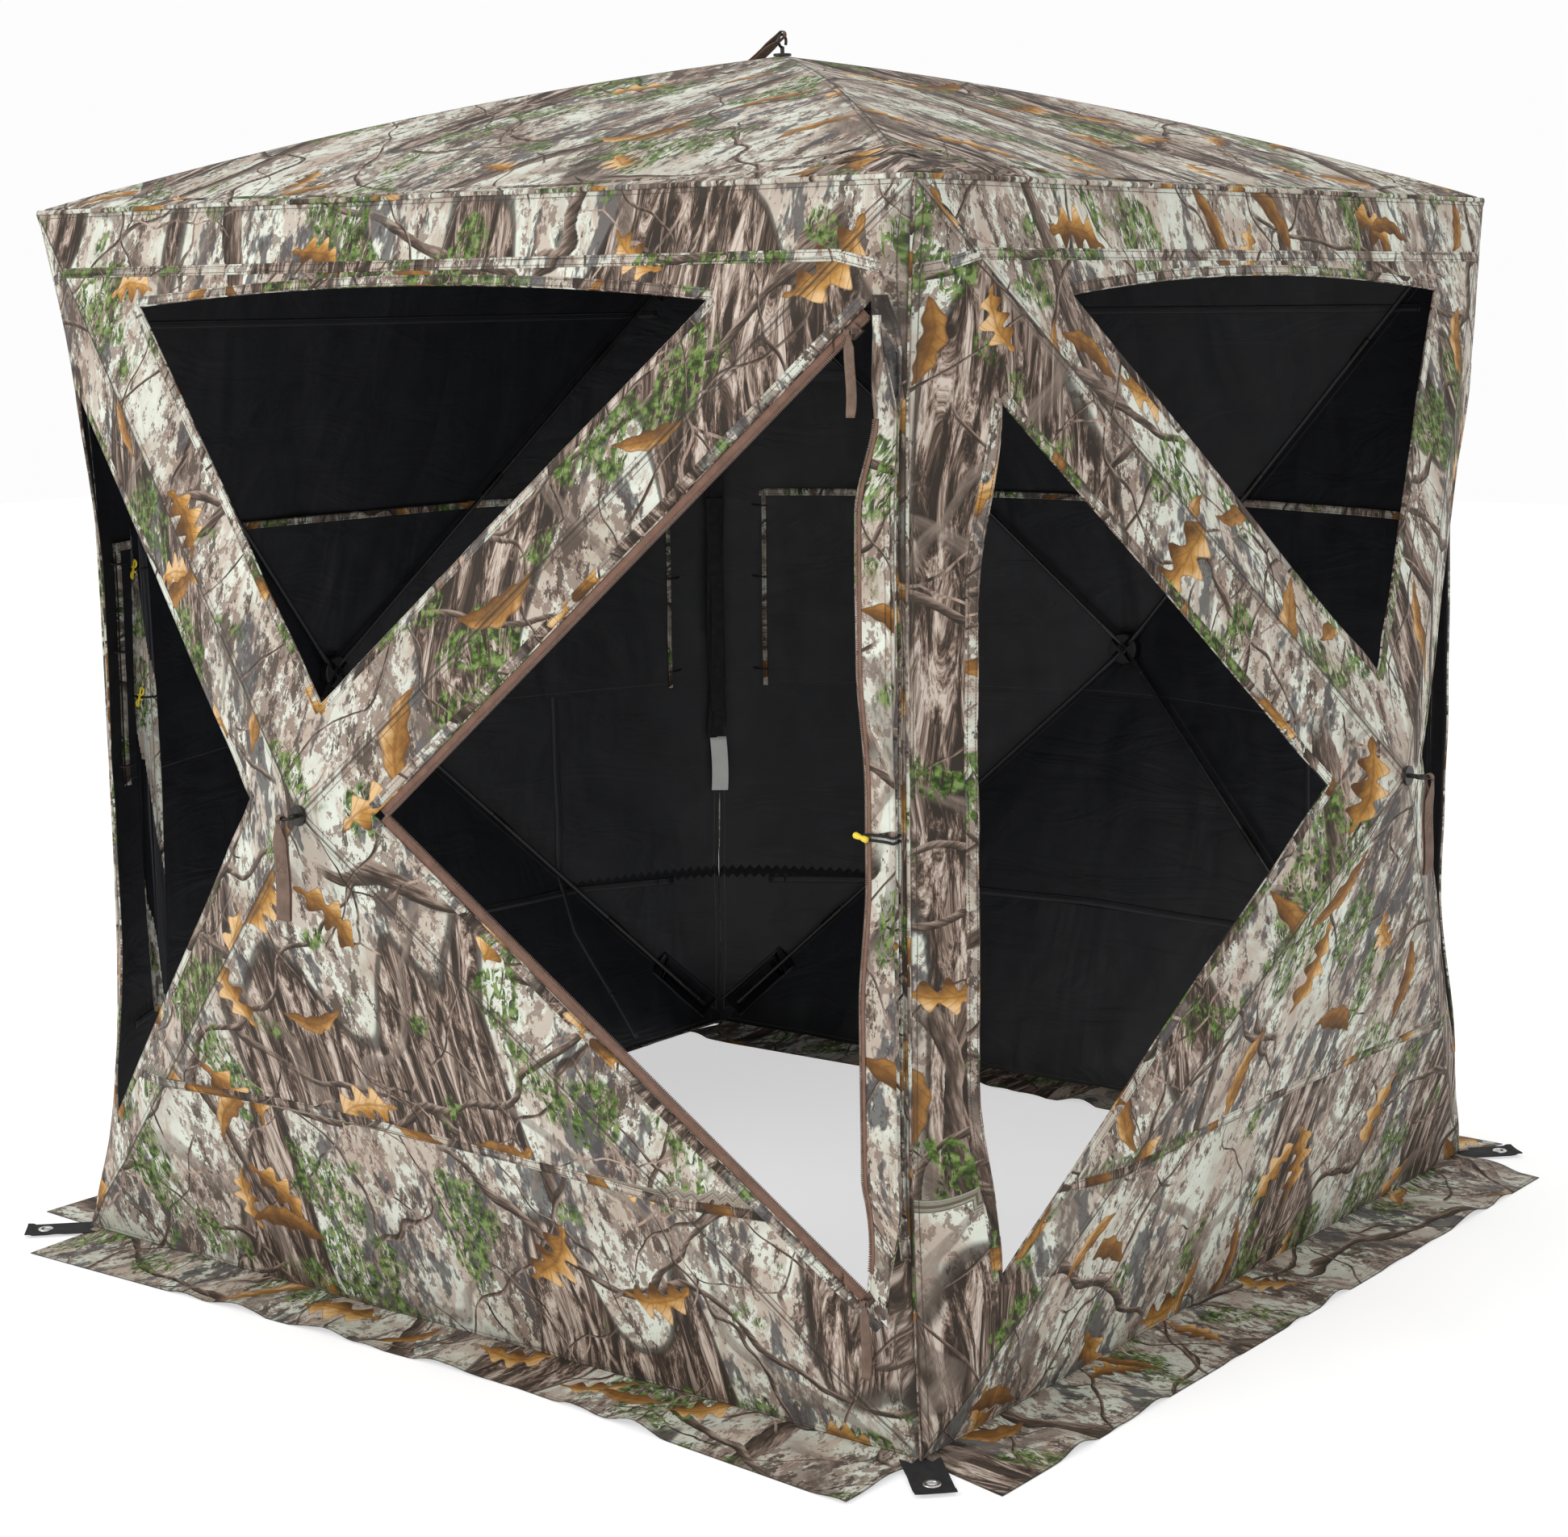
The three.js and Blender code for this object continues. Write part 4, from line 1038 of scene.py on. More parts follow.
def add_wall_trims(tag, turn, openings):
    edge, inner = Build(), Build()
    for place, opening in openings.items():
        kind = "door" if opening is DOOR else "window"
        side = {"left": -1, "right": 1}.get(place, 0)
        middle = (sum(p[0] for p in opening) / 3, sum(p[1] for p in opening) / 3)
        for k in range(3):
            if kind == "door" and k != 1:
                continue
            line = moved_off(inner_edge(opening, k, side, kind), middle, BINDING / 2 + 0.0006)
            lay(edge, tag, line, BINDING, 0.0008, shift=(5.0 + 2.3 * turn, 0.4))
            lay(inner, tag, line, BINDING, 0.0008, True, shift=(1.0, 0.4))
    seam = Build()
    ends = [(-0.734, 1.385), (-0.664, 1.404), (0.664, 1.404), (0.734, 1.385)]
    lay(seam, tag, ends, 0.014, 0.0009, shift=(7.0 + turn, 0.4))
    lay(seam, tag, [(-0.640, 0.286 + 0.006 * turn), (-0.2, 0.308), (0.2, 0.304), (0.640, 0.282)], 0.013, 0.0009,
        shift=(9.0 + turn, 1.4))
    lay(inner, tag, ends, 0.014, 0.0008, True)
    lay(inner, tag, [(-0.640, 0.292), (0.0, 0.306), (0.640, 0.288)], 0.013, 0.0008, True)
    if not openings:
        lay(inner, tag, [(-0.640, 1.330), (0.640, 1.330)], 0.013, 0.0008, True)
        lay(inner, tag, [(-0.420, 0.900), (-0.425, 0.230), (-0.510, 0.020)], 0.014, 0.0009, True)
        lay(seam, tag, [(-0.655, 1.240), (-0.655, 0.240)], 0.013, 0.0009, shift=(8.0, 0.4))
        lay(seam, tag, [(0.655, 1.240), (0.655, 0.240)], 0.013, 0.0009, shift=(8.5, 0.4))
        for side in (-1, 1):
            lay(seam, tag, [(side * 0.150, 0.742), (side * 0.648, 1.237)], 0.013, 0.0009, shift=(8.5, 2.4))
            lay(seam, tag, [(side * 0.150, 0.742), (side * 0.648, 0.215)], 0.013, 0.0009, shift=(8.5, 3.4))
    for a, b in ((-0.03, 0), (0.03, 0)):
        lay(inner, tag, [(a, HUB_Z - 0.045), (a, HUB_Z + 0.045)], 0.030, 0.0009, True)
        lay(inner, tag, [(b - 0.045, HUB_Z + a), (b + 0.045, HUB_Z + a)], 0.030, 0.0011, True)
    for x in (-1, 1):
        for z, far in ((WALL_FOOT, 0.130), (WALL_TOP, 0.110)):
            a, b = x * 0.742, z + (0.008 if z < 1 else -0.008)
            c = (mix(a, 0, far / 0.75), mix(b, HUB_Z, far / 0.75))
            lay(inner, tag, [(mix(a, c[0], 0.12), mix(b, c[1], 0.12)), c], 0.052, 0.0011, True)
    if openings:
        add_trim(f"{tag}_window_binding", edge, (tag, turn), "camo_tape")
    add_trim(f"{tag}_tape_seams", seam, (tag, turn), "camo_tape")
    add_trim(f"{tag}_inner_tapes", inner, (tag, turn), "lining_tape")


def rod_piping():
    """Narrow piping over the vertical corners and along the roof's edge."""
    build = Build()
    for turn in range(4):
        spin = turned(turn)
        count, rings, cloth = 60, [], []
        for k in range(count + 1):
            v = mix(WALL_FOOT, WALL_TOP, k / count)
            p = Vector((HALF - bow(v), -HALF + bow(v), v))
            ring = [spin @ (p + Vector((0.0024 * math.cos(a), 0.0024 * math.sin(a), 0)))
                    for a in [x * math.pi / 4 for x in range(8)]]
            rings.append(ring)
            cloth.append([(x * 0.001 + turn, v) for x in range(8)])
        build.tube(rings, cloth, [[(c[1], 0.02) for c in row] for row in cloth])
        rings, cloth = [], []
        for k in range(count + 1):
            u = mix(-HALF, HALF, k / count)
            ring = [spin @ Vector((u, -HALF + 0.001 + 0.0030 * math.cos(a), 1.4888 + 0.0034 * math.sin(a)))
                    for a in [x * math.pi / 4 for x in range(8)]]
            rings.append(ring)
            cloth.append([(u + 3 + turn, x * 0.0015) for x in range(8)])
        build.tube(rings, cloth, [[(c[0], 0.02) for c in row] for row in cloth])
    add_piece("corner_and_roof_piping", build, "camo_tape")


def add_roof_trims():
    build = Build()
    for quarter in range(4):
        spin = Matrix.Rotation(quarter * math.pi / 2, 3, "Z")
        line = []
        for along in stepped(-0.735, 0.735, 60):
            p = spin @ Vector((along, -HALF + roof_rim_line(along) + 0.004, 0))
            line.append((p.x, p.y))
        lay(build, "roof", line, 0.0075, 0.0009, shift=(4.0 + quarter, 2.0))
        outline = [spin @ Vector(p) for p in ((0.744, -0.744, 0), (0.744, -0.585, 0), (0.690, -0.600, 0),
                                              (0.600, -0.690, 0), (0.585, -0.744, 0))]
        laid_patch(build, "roof", [(p.x, p.y) for p in outline], 0.0010, shift=(quarter * 1.1, 6.0))
        for a, b in (((0.700, -0.560, 0), (0.640, -0.610, 0)), ((0.560, -0.700, 0), (0.610, -0.640, 0))):
            a, b = spin @ Vector(a), spin @ Vector(b)
            lay(build, "roof", [(a.x, a.y), (b.x, b.y)], 0.010, 0.0012, shift=(quarter, 7.0))
    add_trim("roof_seams", build, ("roof", 0), "camo_tape")


# ---- ground skirts ----
SKIRTS = {
    "front": [(-0.745, -0.008), (0.745, -0.008), (0.746, 0.145), (0.197, 0.100), (-0.737, 0.124)],
    "right": [(-0.741, -0.008), (0.741, -0.008), (0.712, 0.150), (-0.190, 0.137), (-0.772, 0.128)],
    "back": [(-0.745, -0.008), (-0.600, -0.008), (-0.540, -0.088), (0.060, -0.096), (0.640, -0.112), (0.738, -0.106),
             (0.738, 0.008), (-0.520, 0.008), (-0.560, 0.104), (-0.782, 0.097)],
    "left": [(-0.741, -0.008), (0.741, -0.008), (0.736, 0.124), (0.0, 0.108), (-0.730, 0.127)],
}
SKIRT_CLOTH = 0.0012


def inside_outline(outline, x, y):
    inside = False
    for (ax, ay), (bx, by) in zip(outline, outline[1:] + outline[:1]):
        if (ay > y) != (by > y) and x < (bx - ax) * (y - ay) / (by - ay) + ax:
            inside = not inside
    return inside


def outline_distance(outline, x, y):
    return min(to_line((x, y), a, b) for a, b in zip(outline, outline[1:] + outline[:1]))


def add_skirts():
    for tag, turn, _ in WALLS:
        outline = spread(SKIRTS[tag] + [SKIRTS[tag][0]], 0.011)[:-1]
        points = list(outline)
        low, high = min(p[1] for p in outline), max(p[1] for p in outline)
        for r in range(int((high - low) / 0.0105) + 1):
            for c in range(145):
                x = -0.80 + c * 0.0112 + (r % 2) * 0.0056
                y = low + r * 0.0105
                if inside_outline(outline, x, y) and outline_distance(outline, x, y) > 0.005:
                    points.append((x, y))
        count = len(outline)
        found = delaunay_2d_cdt([Vector(p) for p in points], [(k, (k + 1) % count) for k in range(count)], [], 1, 1e-6)
        build = Build()
        raised = []
        for p in found[0]:
            x, y = p
            away = abs(y)
            wave = noise.noise(Vector((x * 6.5, y * 5, turn * 5.0))) * 0.017 + noise.noise(
                Vector((x * 17 + y * 6, y * 11, turn * 5.0 + 9))) * 0.0075
            edge = noise.noise(Vector((x * 11, 2.0, turn * 3.0))) * 0.012 * smooth((away - 0.05) / 0.07)
            z = SKIRT_CLOTH + 0.0004 + max(0.0, wave + edge + 0.0012)
            z = mix(0.0066, z, smooth(away / 0.026))
            raised.append((x, -HALF - y, z))
        build.add(raised)
        for face in found[2]:
            build.face(list(face), [(raised[k][0] + 11.0 + 1.7 * turn, raised[k][1]) for k in face])
        shape = SKIRTS[tag]
        bm = surface(build, lambda p: outline_distance(shape, p.x, -HALF - p.y), Vector((0, 0, 1)))
        area = sum(f.calc_area() for f in bm.faces)
        piece = shell(f"{tag}_ground_skirt", bm, SKIRT_CLOTH, ["camo", "lining"], turned(turn))
        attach(piece, "root")
        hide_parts(f"{tag}_skirt")


# ---- swept straps, cords and bundles ----
def flat_section(width, thick, rounds=0.32):
    """The outline across a strap: (across, through), with softly rounded edges."""
    w, h = width / 2, thick / 2
    r = h * rounds * 2
    return [(-w, 0), (-w + r * 0.4, h * 0.75), (-w + r * 1.4, h), (0, h), (w - r * 1.4, h), (w - r * 0.4, h * 0.75),
            (w, 0), (w - r * 0.4, -h * 0.75), (w - r * 1.4, -h), (0, -h), (-w + r * 1.4, -h), (-w + r * 0.4, -h * 0.75)]


def strap(build, path, across, width, thick, loop=False, place=None):
    """A strap along a path; across is the way its width runs, one vector or one for each point."""
    place = place or Matrix()
    rings, cloth, tape, run = [], [], [], 0.0
    count = len(path)
    for k, p in enumerate(path):
        p = Vector(p)
        if loop:
            ahead, behind = Vector(path[(k + 1) % count]), Vector(path[k - 1])
        else:
            ahead, behind = Vector(path[min(k + 1, count - 1)]), Vector(path[max(k - 1, 0)])
        side = Vector(across[k] if isinstance(across, list) else across).normalized()
        along = (ahead - behind).normalized()
        out = along.cross(side).normalized()
        w = width[k] if isinstance(width, list) else width
        if k:
            run += (p - Vector(path[k - 1])).length
        rings.append([place @ (p + side * a + out * b) for a, b in flat_section(w, thick)])
        cloth.append([(run, a + w / 2) for a, _ in flat_section(w, thick)])
    return build.tube(rings, cloth, cloth, loop=loop)


def wire(build, path, radius, sides=10, loop=False, place=None):
    """A round cord or wire along a path."""
    place = place or Matrix()
    rings, cloth, run = [], [], 0.0
    count = len(path)
    frame_up = None
    for k, p in enumerate(path):
        p = Vector(p)
        ahead = Vector(path[(k + 1) % count] if loop else path[min(k + 1, count - 1)])
        behind = Vector(path[k - 1] if loop else path[max(k - 1, 0)])
        along = (ahead - behind).normalized()
        if frame_up is None:
            frame_up = along.orthogonal().normalized()
        frame_up = (frame_up - along * frame_up.dot(along)).normalized()
        side = along.cross(frame_up)
        if k:
            run += (p - Vector(path[k - 1])).length
        r = radius[k] if isinstance(radius, list) else radius
        rings.append([place @ (p + frame_up * (r * math.cos(a)) + side * (r * math.sin(a))) for a in circle(sides)])
        cloth.append([(run, r * a) for a in circle(sides)])
    return build.tube(rings, cloth, cloth, loop=loop)


def turned_solid(build, profile, sides, place):
    """A solid turned about Z from (radius, z) points that start and end on or near the axis."""
    rings = [[place @ Vector((r * math.cos(a), r * math.sin(a), z))
              for a in circle(sides)] for r, z in profile]
    cloth = [[(k * 0.002, z) for k in range(sides)] for _, z in profile]
    return build.tube(rings, cloth)


def station(turn):
    """A hub's own frame: +Z outward from the fabric's tip, +Y up a wall."""
    if turn is None:
        return Matrix.Translation((0, 0, APEX_Z))
    return turned(turn) @ Matrix.Translation((0, -HALF - HUB_OUT, HUB_Z)) @ Matrix.Rotation(math.pi / 2, 4, "X")


HOOK_TOP = 0.030
STRAP_BEND, STRAP_THICK = 0.005, 0.0016


def add_pull_strap(tag, turn, length):
    roof = turn is None
    place = station(turn)
    if roof:
        place = place @ Matrix.Rotation(-math.pi / 2, 4, "Z")
    place = place @ Matrix.Translation((0, 0, HOOK_TOP))
    if roof:
        place = place @ Matrix.Rotation(math.radians(33), 4, "X")
    path, width = [], []
    for k in range(13):
        angle = math.pi * k / 12
        path.append((0, STRAP_BEND * math.sin(angle), STRAP_BEND * math.cos(angle)))
        width.append(0.0072)
    count = 26
    down = [(k + 1) / count * (length - 0.002) for k in range(count)]
    legs = []
    for d in down:
        near = mix(STRAP_BEND, 0.0017, smooth(d / 0.034))
        full = mix(0.0072, 0.0235, smooth((d - 0.004) / 0.026))
        wave = 0.0012 * math.sin(d * 55 + turn_seed(turn)) * smooth(d / 0.03) * smooth((length - d) / 0.02 + 0.4)
        legs.append((d, near, full, wave))
    back = [((0, -d, -near + wave), full) for d, near, full, wave in legs]
    front = [((0, -d, near + wave), full) for d, near, full, wave in reversed(legs)]
    tip = [((0, -length - 0.0008, -0.0006), 0.0235), ((0, -length - 0.0008, 0.0006), 0.0235)]
    for p, w in back + tip + front:
        path.append(p)
        width.append(w)
    build = strap(Build(), path, (1, 0, 0), width, STRAP_THICK, True, place)
    box = Build()
    for side in (-1, 1):
        z = side * (0.0017 + STRAP_THICK * 0.5 + 0.0002)
        for a, b in (((-0.008, -0.048), (0.008, -0.066)), ((0.008, -0.048), (-0.008, -0.066)),
                     ((-0.008, -0.048), (0.008, -0.048)), ((-0.008, -0.066), (0.008, -0.066)),
                     ((-0.008, -0.048), (-0.008, -0.066)), ((0.008, -0.048), (0.008, -0.066))):
            line = [(mix(a[0], b[0], t / 4), mix(a[1], b[1], t / 4),
                     z + 0.0012 * math.sin(-mix(a[1], b[1], t / 4) * 55 + turn_seed(turn))) for t in range(5)]
            wire(box, line, 0.00045, 6, place=place)
    piece = add_piece(f"{tag}_strap_webbing", build, "brown_webbing", f"{tag}_pull_strap")
    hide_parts(f"{tag}_pull_strap")
    thread = add_piece(f"{tag}_strap_stitches", box, "zip_teeth", f"{tag}_pull_strap")


def turn_seed(turn):
    return 2.1 * (4 if turn is None else turn)


def add_rod_fittings(tag, turn):
    """A metal ferrule and a moulded end cap on each rod, just proud of the rod."""
    place = station(turn)
    for corner, (x, y) in RODS.items():
        reach = HALF - 0.045
        down = reach if turn is None or y > 0 else HUB_Z - 0.045
        tip = Vector((x * reach, y * down, -0.210 if turn is None else -HUB_OUT - 0.002))
        hinge = Vector((x, y, 0)).normalized() * 0.017
        hinge.z = -0.024
        along = tip - hinge
        length = along.length
        frame_ = place @ Matrix.Translation(hinge) @ along.to_track_quat("Z", "Y").to_matrix().to_4x4()
        build = Build()
        for middle in (0.42, 0.74):
            z = length * middle
            turned_solid(build, [(0.0042, z - 0.026), (0.0051, z - 0.0255), (0.0054, z - 0.020), (0.0054, z + 0.020),
                                 (0.0051, z + 0.0255), (0.0042, z + 0.026)], 16, frame_)
        ring = length - 0.024
        turned_solid(build, [(0.0050, ring), (0.0056, ring + 0.001), (0.0056, ring + 0.004), (0.0050, ring + 0.005)], 16,
                     frame_)
        add_piece(f"{tag}_rod_{corner}_ferrules", build, "steel", f"{tag}_rod_{corner}", sharp=40)


# ---- stake tabs ----
def add_stake_tabs():
    for k, name in enumerate(("front_right", "back_right", "back_left", "front_left")):
        place = Matrix.Rotation((k - 1.5) * math.pi / 2, 4, "Z") @ Matrix.Translation((0, math.hypot(HALF, HALF), 0.0028))
        start, end, hole = -0.020, 0.096, Vector((0, 0.068))
        rows, columns = 30, 14
        rows_of_points = []
        for r in range(rows + 1):
            row = []
            for c in range(columns + 1):
                x, y = mix(-0.025, 0.025, c / columns), mix(start, end, r / rows)
                p = Vector((x, y))
                away = p - hole
                if 1e-6 < away.length < 0.010:
                    p = hole + away.normalized() * mix(0.0063, 0.010, smooth(away.length / 0.010))
                rumple = max(0.0, noise.noise(Vector((x * 30, y * 24, k * 3.0)))) * 0.003
                lift = 0.0003 + rumple * smooth(abs(y - 0.068) / 0.02) * smooth((y - 0.01) / 0.03)
                lift += 0.0016 * smooth((0.012 - (end - y)) / 0.003)
                row.append(((p.x, p.y, 0.0016 + lift), (y, x + 0.025)))
            rows_of_points.append(row)
        build = Build()
        build.grid(rows_of_points,
                   lambda c: (sum((Vector(p[:2]) for p in c), Vector((0, 0))) / 4 - hole).length < 0.0060)
        bm = surface(build, lambda p: 1.0, Vector((0, 0, 1)))
        piece = shell(f"stake_tab_{name}_webbing", bm, 0.0014, ["black_webbing", "black_webbing"],
                      place)
        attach(piece, "root")
        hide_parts(f"stake_tab_{name}")
        ring = Build()
        at = place @ Matrix.Translation((0, 0.068, 0.0012))
        profile = [(0.0060, -0.0016), (0.0064, -0.0020), (0.0105, -0.0018), (0.0112, -0.0010), (0.0112, 0.0010),
                   (0.0106, 0.0020), (0.0090, 0.0026), (0.0072, 0.0024), (0.0061, 0.0014), (0.0060, 0.0)]
        rings = [[at @ Vector((r * math.cos(a), r * math.sin(a), z)) for a in circle(32)] for r, z in profile]
        ring.tube(rings, [[(q * 0.001, z) for q in range(32)] for _, z in profile], loop=True)
        grommet = add_piece(f"stake_tab_{name}_grommet", ring, "silver")
        ["front_ground_skirt"] if "front" in name else []


# ---- the door's zips ----
def zip_line(corner):
    tip, end = (wall_point(u, facet_out(u, v), v) for u, v in (DOOR[0], corner))
    along = (end - tip).normalized()
    rise = 1 if corner[1] > DOOR[0][1] else -1
    rod_line = wall_point(HALF, 0, WALL_TOP if rise > 0 else WALL_FOOT) - wall_point(0, HUB_OUT, HUB_Z)
    normal = rod_line.cross(Vector((0, 0, 1))).normalized()
    if normal.y > 0:
        normal.negate()
    aside = normal.cross(along).normalized()
    if aside.z * rise < 0:
        aside.negate()
    return tip, (end - tip).length, along, normal, aside


def add_zips():
    for part, corner in (("upper", DOOR[2]), ("lower", DOOR[1])):
        tip, length, along, normal, aside = zip_line(corner)
        at = lambda s, a, n: tip + along * s + aside * a + normal * n
        start, stop = 0.010, length - 0.014
        band, teeth, cover = Build(), Build(), Build()
        profile = ((0.001, -0.0026), (0.001, -0.0006), (-0.006, -0.0004), (-0.0112, -0.0006), (-0.0112, -0.0022),
                   (-0.006, -0.0024))
        line = stepped(start, stop, 60)
        band.tube([[at(s, a, n) for a, n in profile] for s in line], [[(s, 0.001 - a) for a, _ in profile] for s in line])
        pitch = 0.0024
        for k in range(int((stop - start) / pitch)):
            s = start + k * pitch
            for n, shift in ((0.0003, 0.0), (-0.0031, pitch / 2)):
                pair = []
                for ds in (0.0, 0.0013):
                    pair.append([at(s + shift + ds, a, m) for a, m in ((-0.0096, n - 0.0008), (-0.0096, n + 0.0005),
                                                                       (-0.0128, n + 0.0004), (-0.0132, n - 0.0008))])
                teeth.tube(pair, [[(s + ds, 0.001 * q) for q in range(4)] for ds in (0.0, 0.0013)])
        profile = ((0.0150, -0.0002), (0.0146, 0.0010), (0.0085, 0.0014), (0.0022, 0.0013), (0.0018, -0.0002))
        line = stepped(0.004, length - 0.006, 60)
        cover.tube([[at(s, a, n) for a, n in profile] for s in line],
                   [[(s + 6.0, a + 3.0) for a, _ in profile] for s in line], [[(s, a) for a, _ in profile] for s in line])
        made = add_trim(f"door_zip_{part}_tape", band, ("front", 0), "zip_tape")
        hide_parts(f"door_zip_{part}")
        add_trim(f"door_zip_{part}_teeth", teeth, ("front", 0), "zip_teeth", sharp=30)
        add_trim(f"door_zip_{part}_hem", cover, ("front", 0), "camo_tape")
        add_zip_pull(part, at(length - 0.038, -0.0104, 0.005) + Vector((0, -0.0085, 0)))


def add_zip_pull(part, pin):
    build = Build()
    path, width = [], []
    for k in range(25):
        d = k / 24
        path.append(pin + Vector((0.004 * math.sin(d * 3.2) * d, -0.0015 * math.sin(d * 5), -0.002 - 0.093 * d)))
        width.append(mix(0.0062, 0.0138, smooth((d - 0.06) / 0.12)) * mix(1.0, 0.86, smooth((d - 0.9) / 0.1)))
    strap(build, path, (1, 0, 0), width, 0.0022)
    loop = Build()
    ring = [pin + Vector((0, 0.0036 * math.cos(a), 0.0036 * math.sin(a) - 0.0014)) for a in circle(20)]
    strap(loop, ring, (1, 0, 0), 0.0060, 0.0010, True)
    body = f"door_pull_{part}"
    piece = add_piece(f"{body}_webbing", build, "brown_webbing", body)
    eye = add_piece(f"{body}_eye", loop, "brown_webbing", body)
    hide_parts(body)


# ---- the rolled door, its tie, the gathered window cover ----
BUNDLE_LOW, BUNDLE_HIGH = 0.178, 1.338  # the gathered ends, drawn out to the door's corners
BUNDLE_FROM, BUNDLE_TO = 0.215, 1.232
BUNDLE_WIDTH, BUNDLE_WAIST, BUNDLE_THICK, BUNDLE_GAP = 0.056, 0.042, 0.015, 0.007
TIE_WAIST = 0.050  # half the height of the narrow place at the tie


def bundle_section(height):
    waist = min(max((abs(height - HUB_Z) - TIE_WAIST) / 0.160, 0), 1)
    ends = smooth(min(height - BUNDLE_FROM, BUNDLE_TO - height) / 0.120)
    past = max(BUNDLE_FROM - height, height - BUNDLE_TO, 0)
    width = mix(BUNDLE_WAIST, BUNDLE_WIDTH, smooth(waist)) * mix(0.55, 1, ends) * mix(1, 0.30, smooth(past / 0.10))
    depth = BUNDLE_THICK * mix(0.5, 1, ends)
    t = (DOOR[2][1] - height) / (DOOR[2][1] - DOOR[1][1])
    edge = outer_edge("door", 1, mix(DOOR[2][0], DOOR[1][0], t), height, t)
    seam = HALF - bow(height)
    return width, depth, seam - 0.004 - width / 2, edge.y - BUNDLE_GAP - depth / 2


def boxed(a):
    """A point of a rounded box that reaches 1 each way, at angle a."""
    return tuple(math.copysign(math.sqrt(abs(x)), x) for x in (math.cos(a), math.sin(a)))


def folded_ring(width, depth, height, folds, seed, sides=72, deep=0.17):
    """A rounded box section pulled in along its folds."""
    ring = []
    for a in circle(sides):
        c, s = math.cos(a), math.sin(a)
        dent = 0.5 + 0.5 * math.cos(folds * a + 2.2 * noise.noise(Vector((c * 1.4, s * 1.4, height * 3 + seed))) * 2.4)
        share = 1 - deep * dent ** 3 - 0.05 * (0.5 + noise.noise(Vector((c * 3, s * 3, height * 9 + seed))))
        across, through = boxed(a)
        ring.append((across * width / 2 * share, through * depth / 2 * share))
    return ring


def add_bundle(name, levels, section, folds, seed, node, dark):
    """Cloth rolled into a long bundle. dark picks which of its ring points show the black side."""
    build = Build()
    rings, cloth = [], []
    for height in levels:
        width, depth, x, y = section(height)
        ring = folded_ring(width, depth, height, folds, seed)
        rings.append([Vector((x + a, y + b, height)) for a, b in ring])
        girth = [0.0]
        for k in range(1, len(ring)):
            girth.append(girth[-1] + math.dist(ring[k], ring[k - 1]))
        cloth.append([(g + 13.0 + seed, height) for g in girth])
    build.tube(rings, cloth)
    sides = len(rings[0])
    for index in range(len(build.faces)):
        k, r = index % sides, index // sides
        if dark(k / sides, r / len(levels)):
            build.tags[index] = 1
    piece = to_object(name, build.bm(), ["camo_loose", "lining_loose"], Matrix())
    piece.data.shade_smooth()
    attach(piece, "root")
    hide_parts(node)
    return piece


def add_door_bundle():
    levels = stepped(BUNDLE_LOW, BUNDLE_HIGH, 120)
    piece = add_bundle("door_panel_rolled", levels, bundle_section, 5, 1.0, "door_flap",
                       lambda k, r: 0.40 < k < 0.47 and r > 0.5)
    tape = Build()
    path = []
    for k in range(90):
        height = mix(BUNDLE_FROM + 0.01, BUNDLE_TO - 0.01, k / 89)
        width, depth, x, y = bundle_section(height)
        path.append((x - width * 0.30, y - depth / 2 - 0.0001, height))
    strap(tape, path, (1, 0, 0), 0.005, 0.0012)
    teeth = Build()
    for k in range(0, 400):
        height = mix(BUNDLE_FROM + 0.012, BUNDLE_TO - 0.012, k / 399)
        width, depth, x, y = bundle_section(height)
        at = Vector((x - width * 0.30 - 0.0040, y - depth / 2 - 0.0003, height))
        pair = [[at + Vector((a, b, dz)) for a, b in ((-0.0018, -0.0007), (0.0014, -0.0007), (0.0014, 0.0009),
                                                      (-0.0018, 0.0009))] for dz in (0, 0.0013)]
        teeth.tube(pair, [[(height + dz, 0.001 * q) for q in range(4)] for dz in (0, 0.0013)])
    band = add_piece("door_panel_zip_tape", tape, "zip_tape")
    row = add_piece("door_panel_zip_teeth", teeth, "zip_teeth", sharp=30)
    # the elastic tie with its toggle
    width, depth, x, y = bundle_section(HUB_Z)
    elastic = Build()
    for dz in (-0.0032, 0.0032):
        ring = []
        for a in circle(48):
            across, through = boxed(a)
            ring.append((x + across * (width / 2 + 0.0016), y + through * (depth / 2 + 0.0016),
                         HUB_Z + dz + 0.0008 * math.sin(3 * a)))
        wire(elastic, ring, 0.0017, 8, True)
    cord = add_piece("door_tie_elastic", elastic, "black_webbing")
    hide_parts("door_tie")
    toggle = Build()
    at = (Matrix.Translation((x - width / 2 - 0.0005, y - depth / 2 - 0.0045, HUB_Z)) @ Matrix.Rotation(0.25, 4, "Y")
          @ Matrix.Rotation(math.pi / 2, 4, "Y"))
    turned_solid(toggle, [(0.0010, -0.0105), (0.0030, -0.0100), (0.0040, -0.0080), (0.0036, -0.0030), (0.0026, 0.0),
                          (0.0036, 0.0030), (0.0040, 0.0080), (0.0030, 0.0100), (0.0010, 0.0105)], 20, at)
    add_piece("door_tie_toggle", toggle, "yellow")


COVER_FROM, COVER_TO, COVER_AT, COVER_ACROSS, COVER_THROUGH = 0.330, 1.050, -0.668, 0.034, 0.024


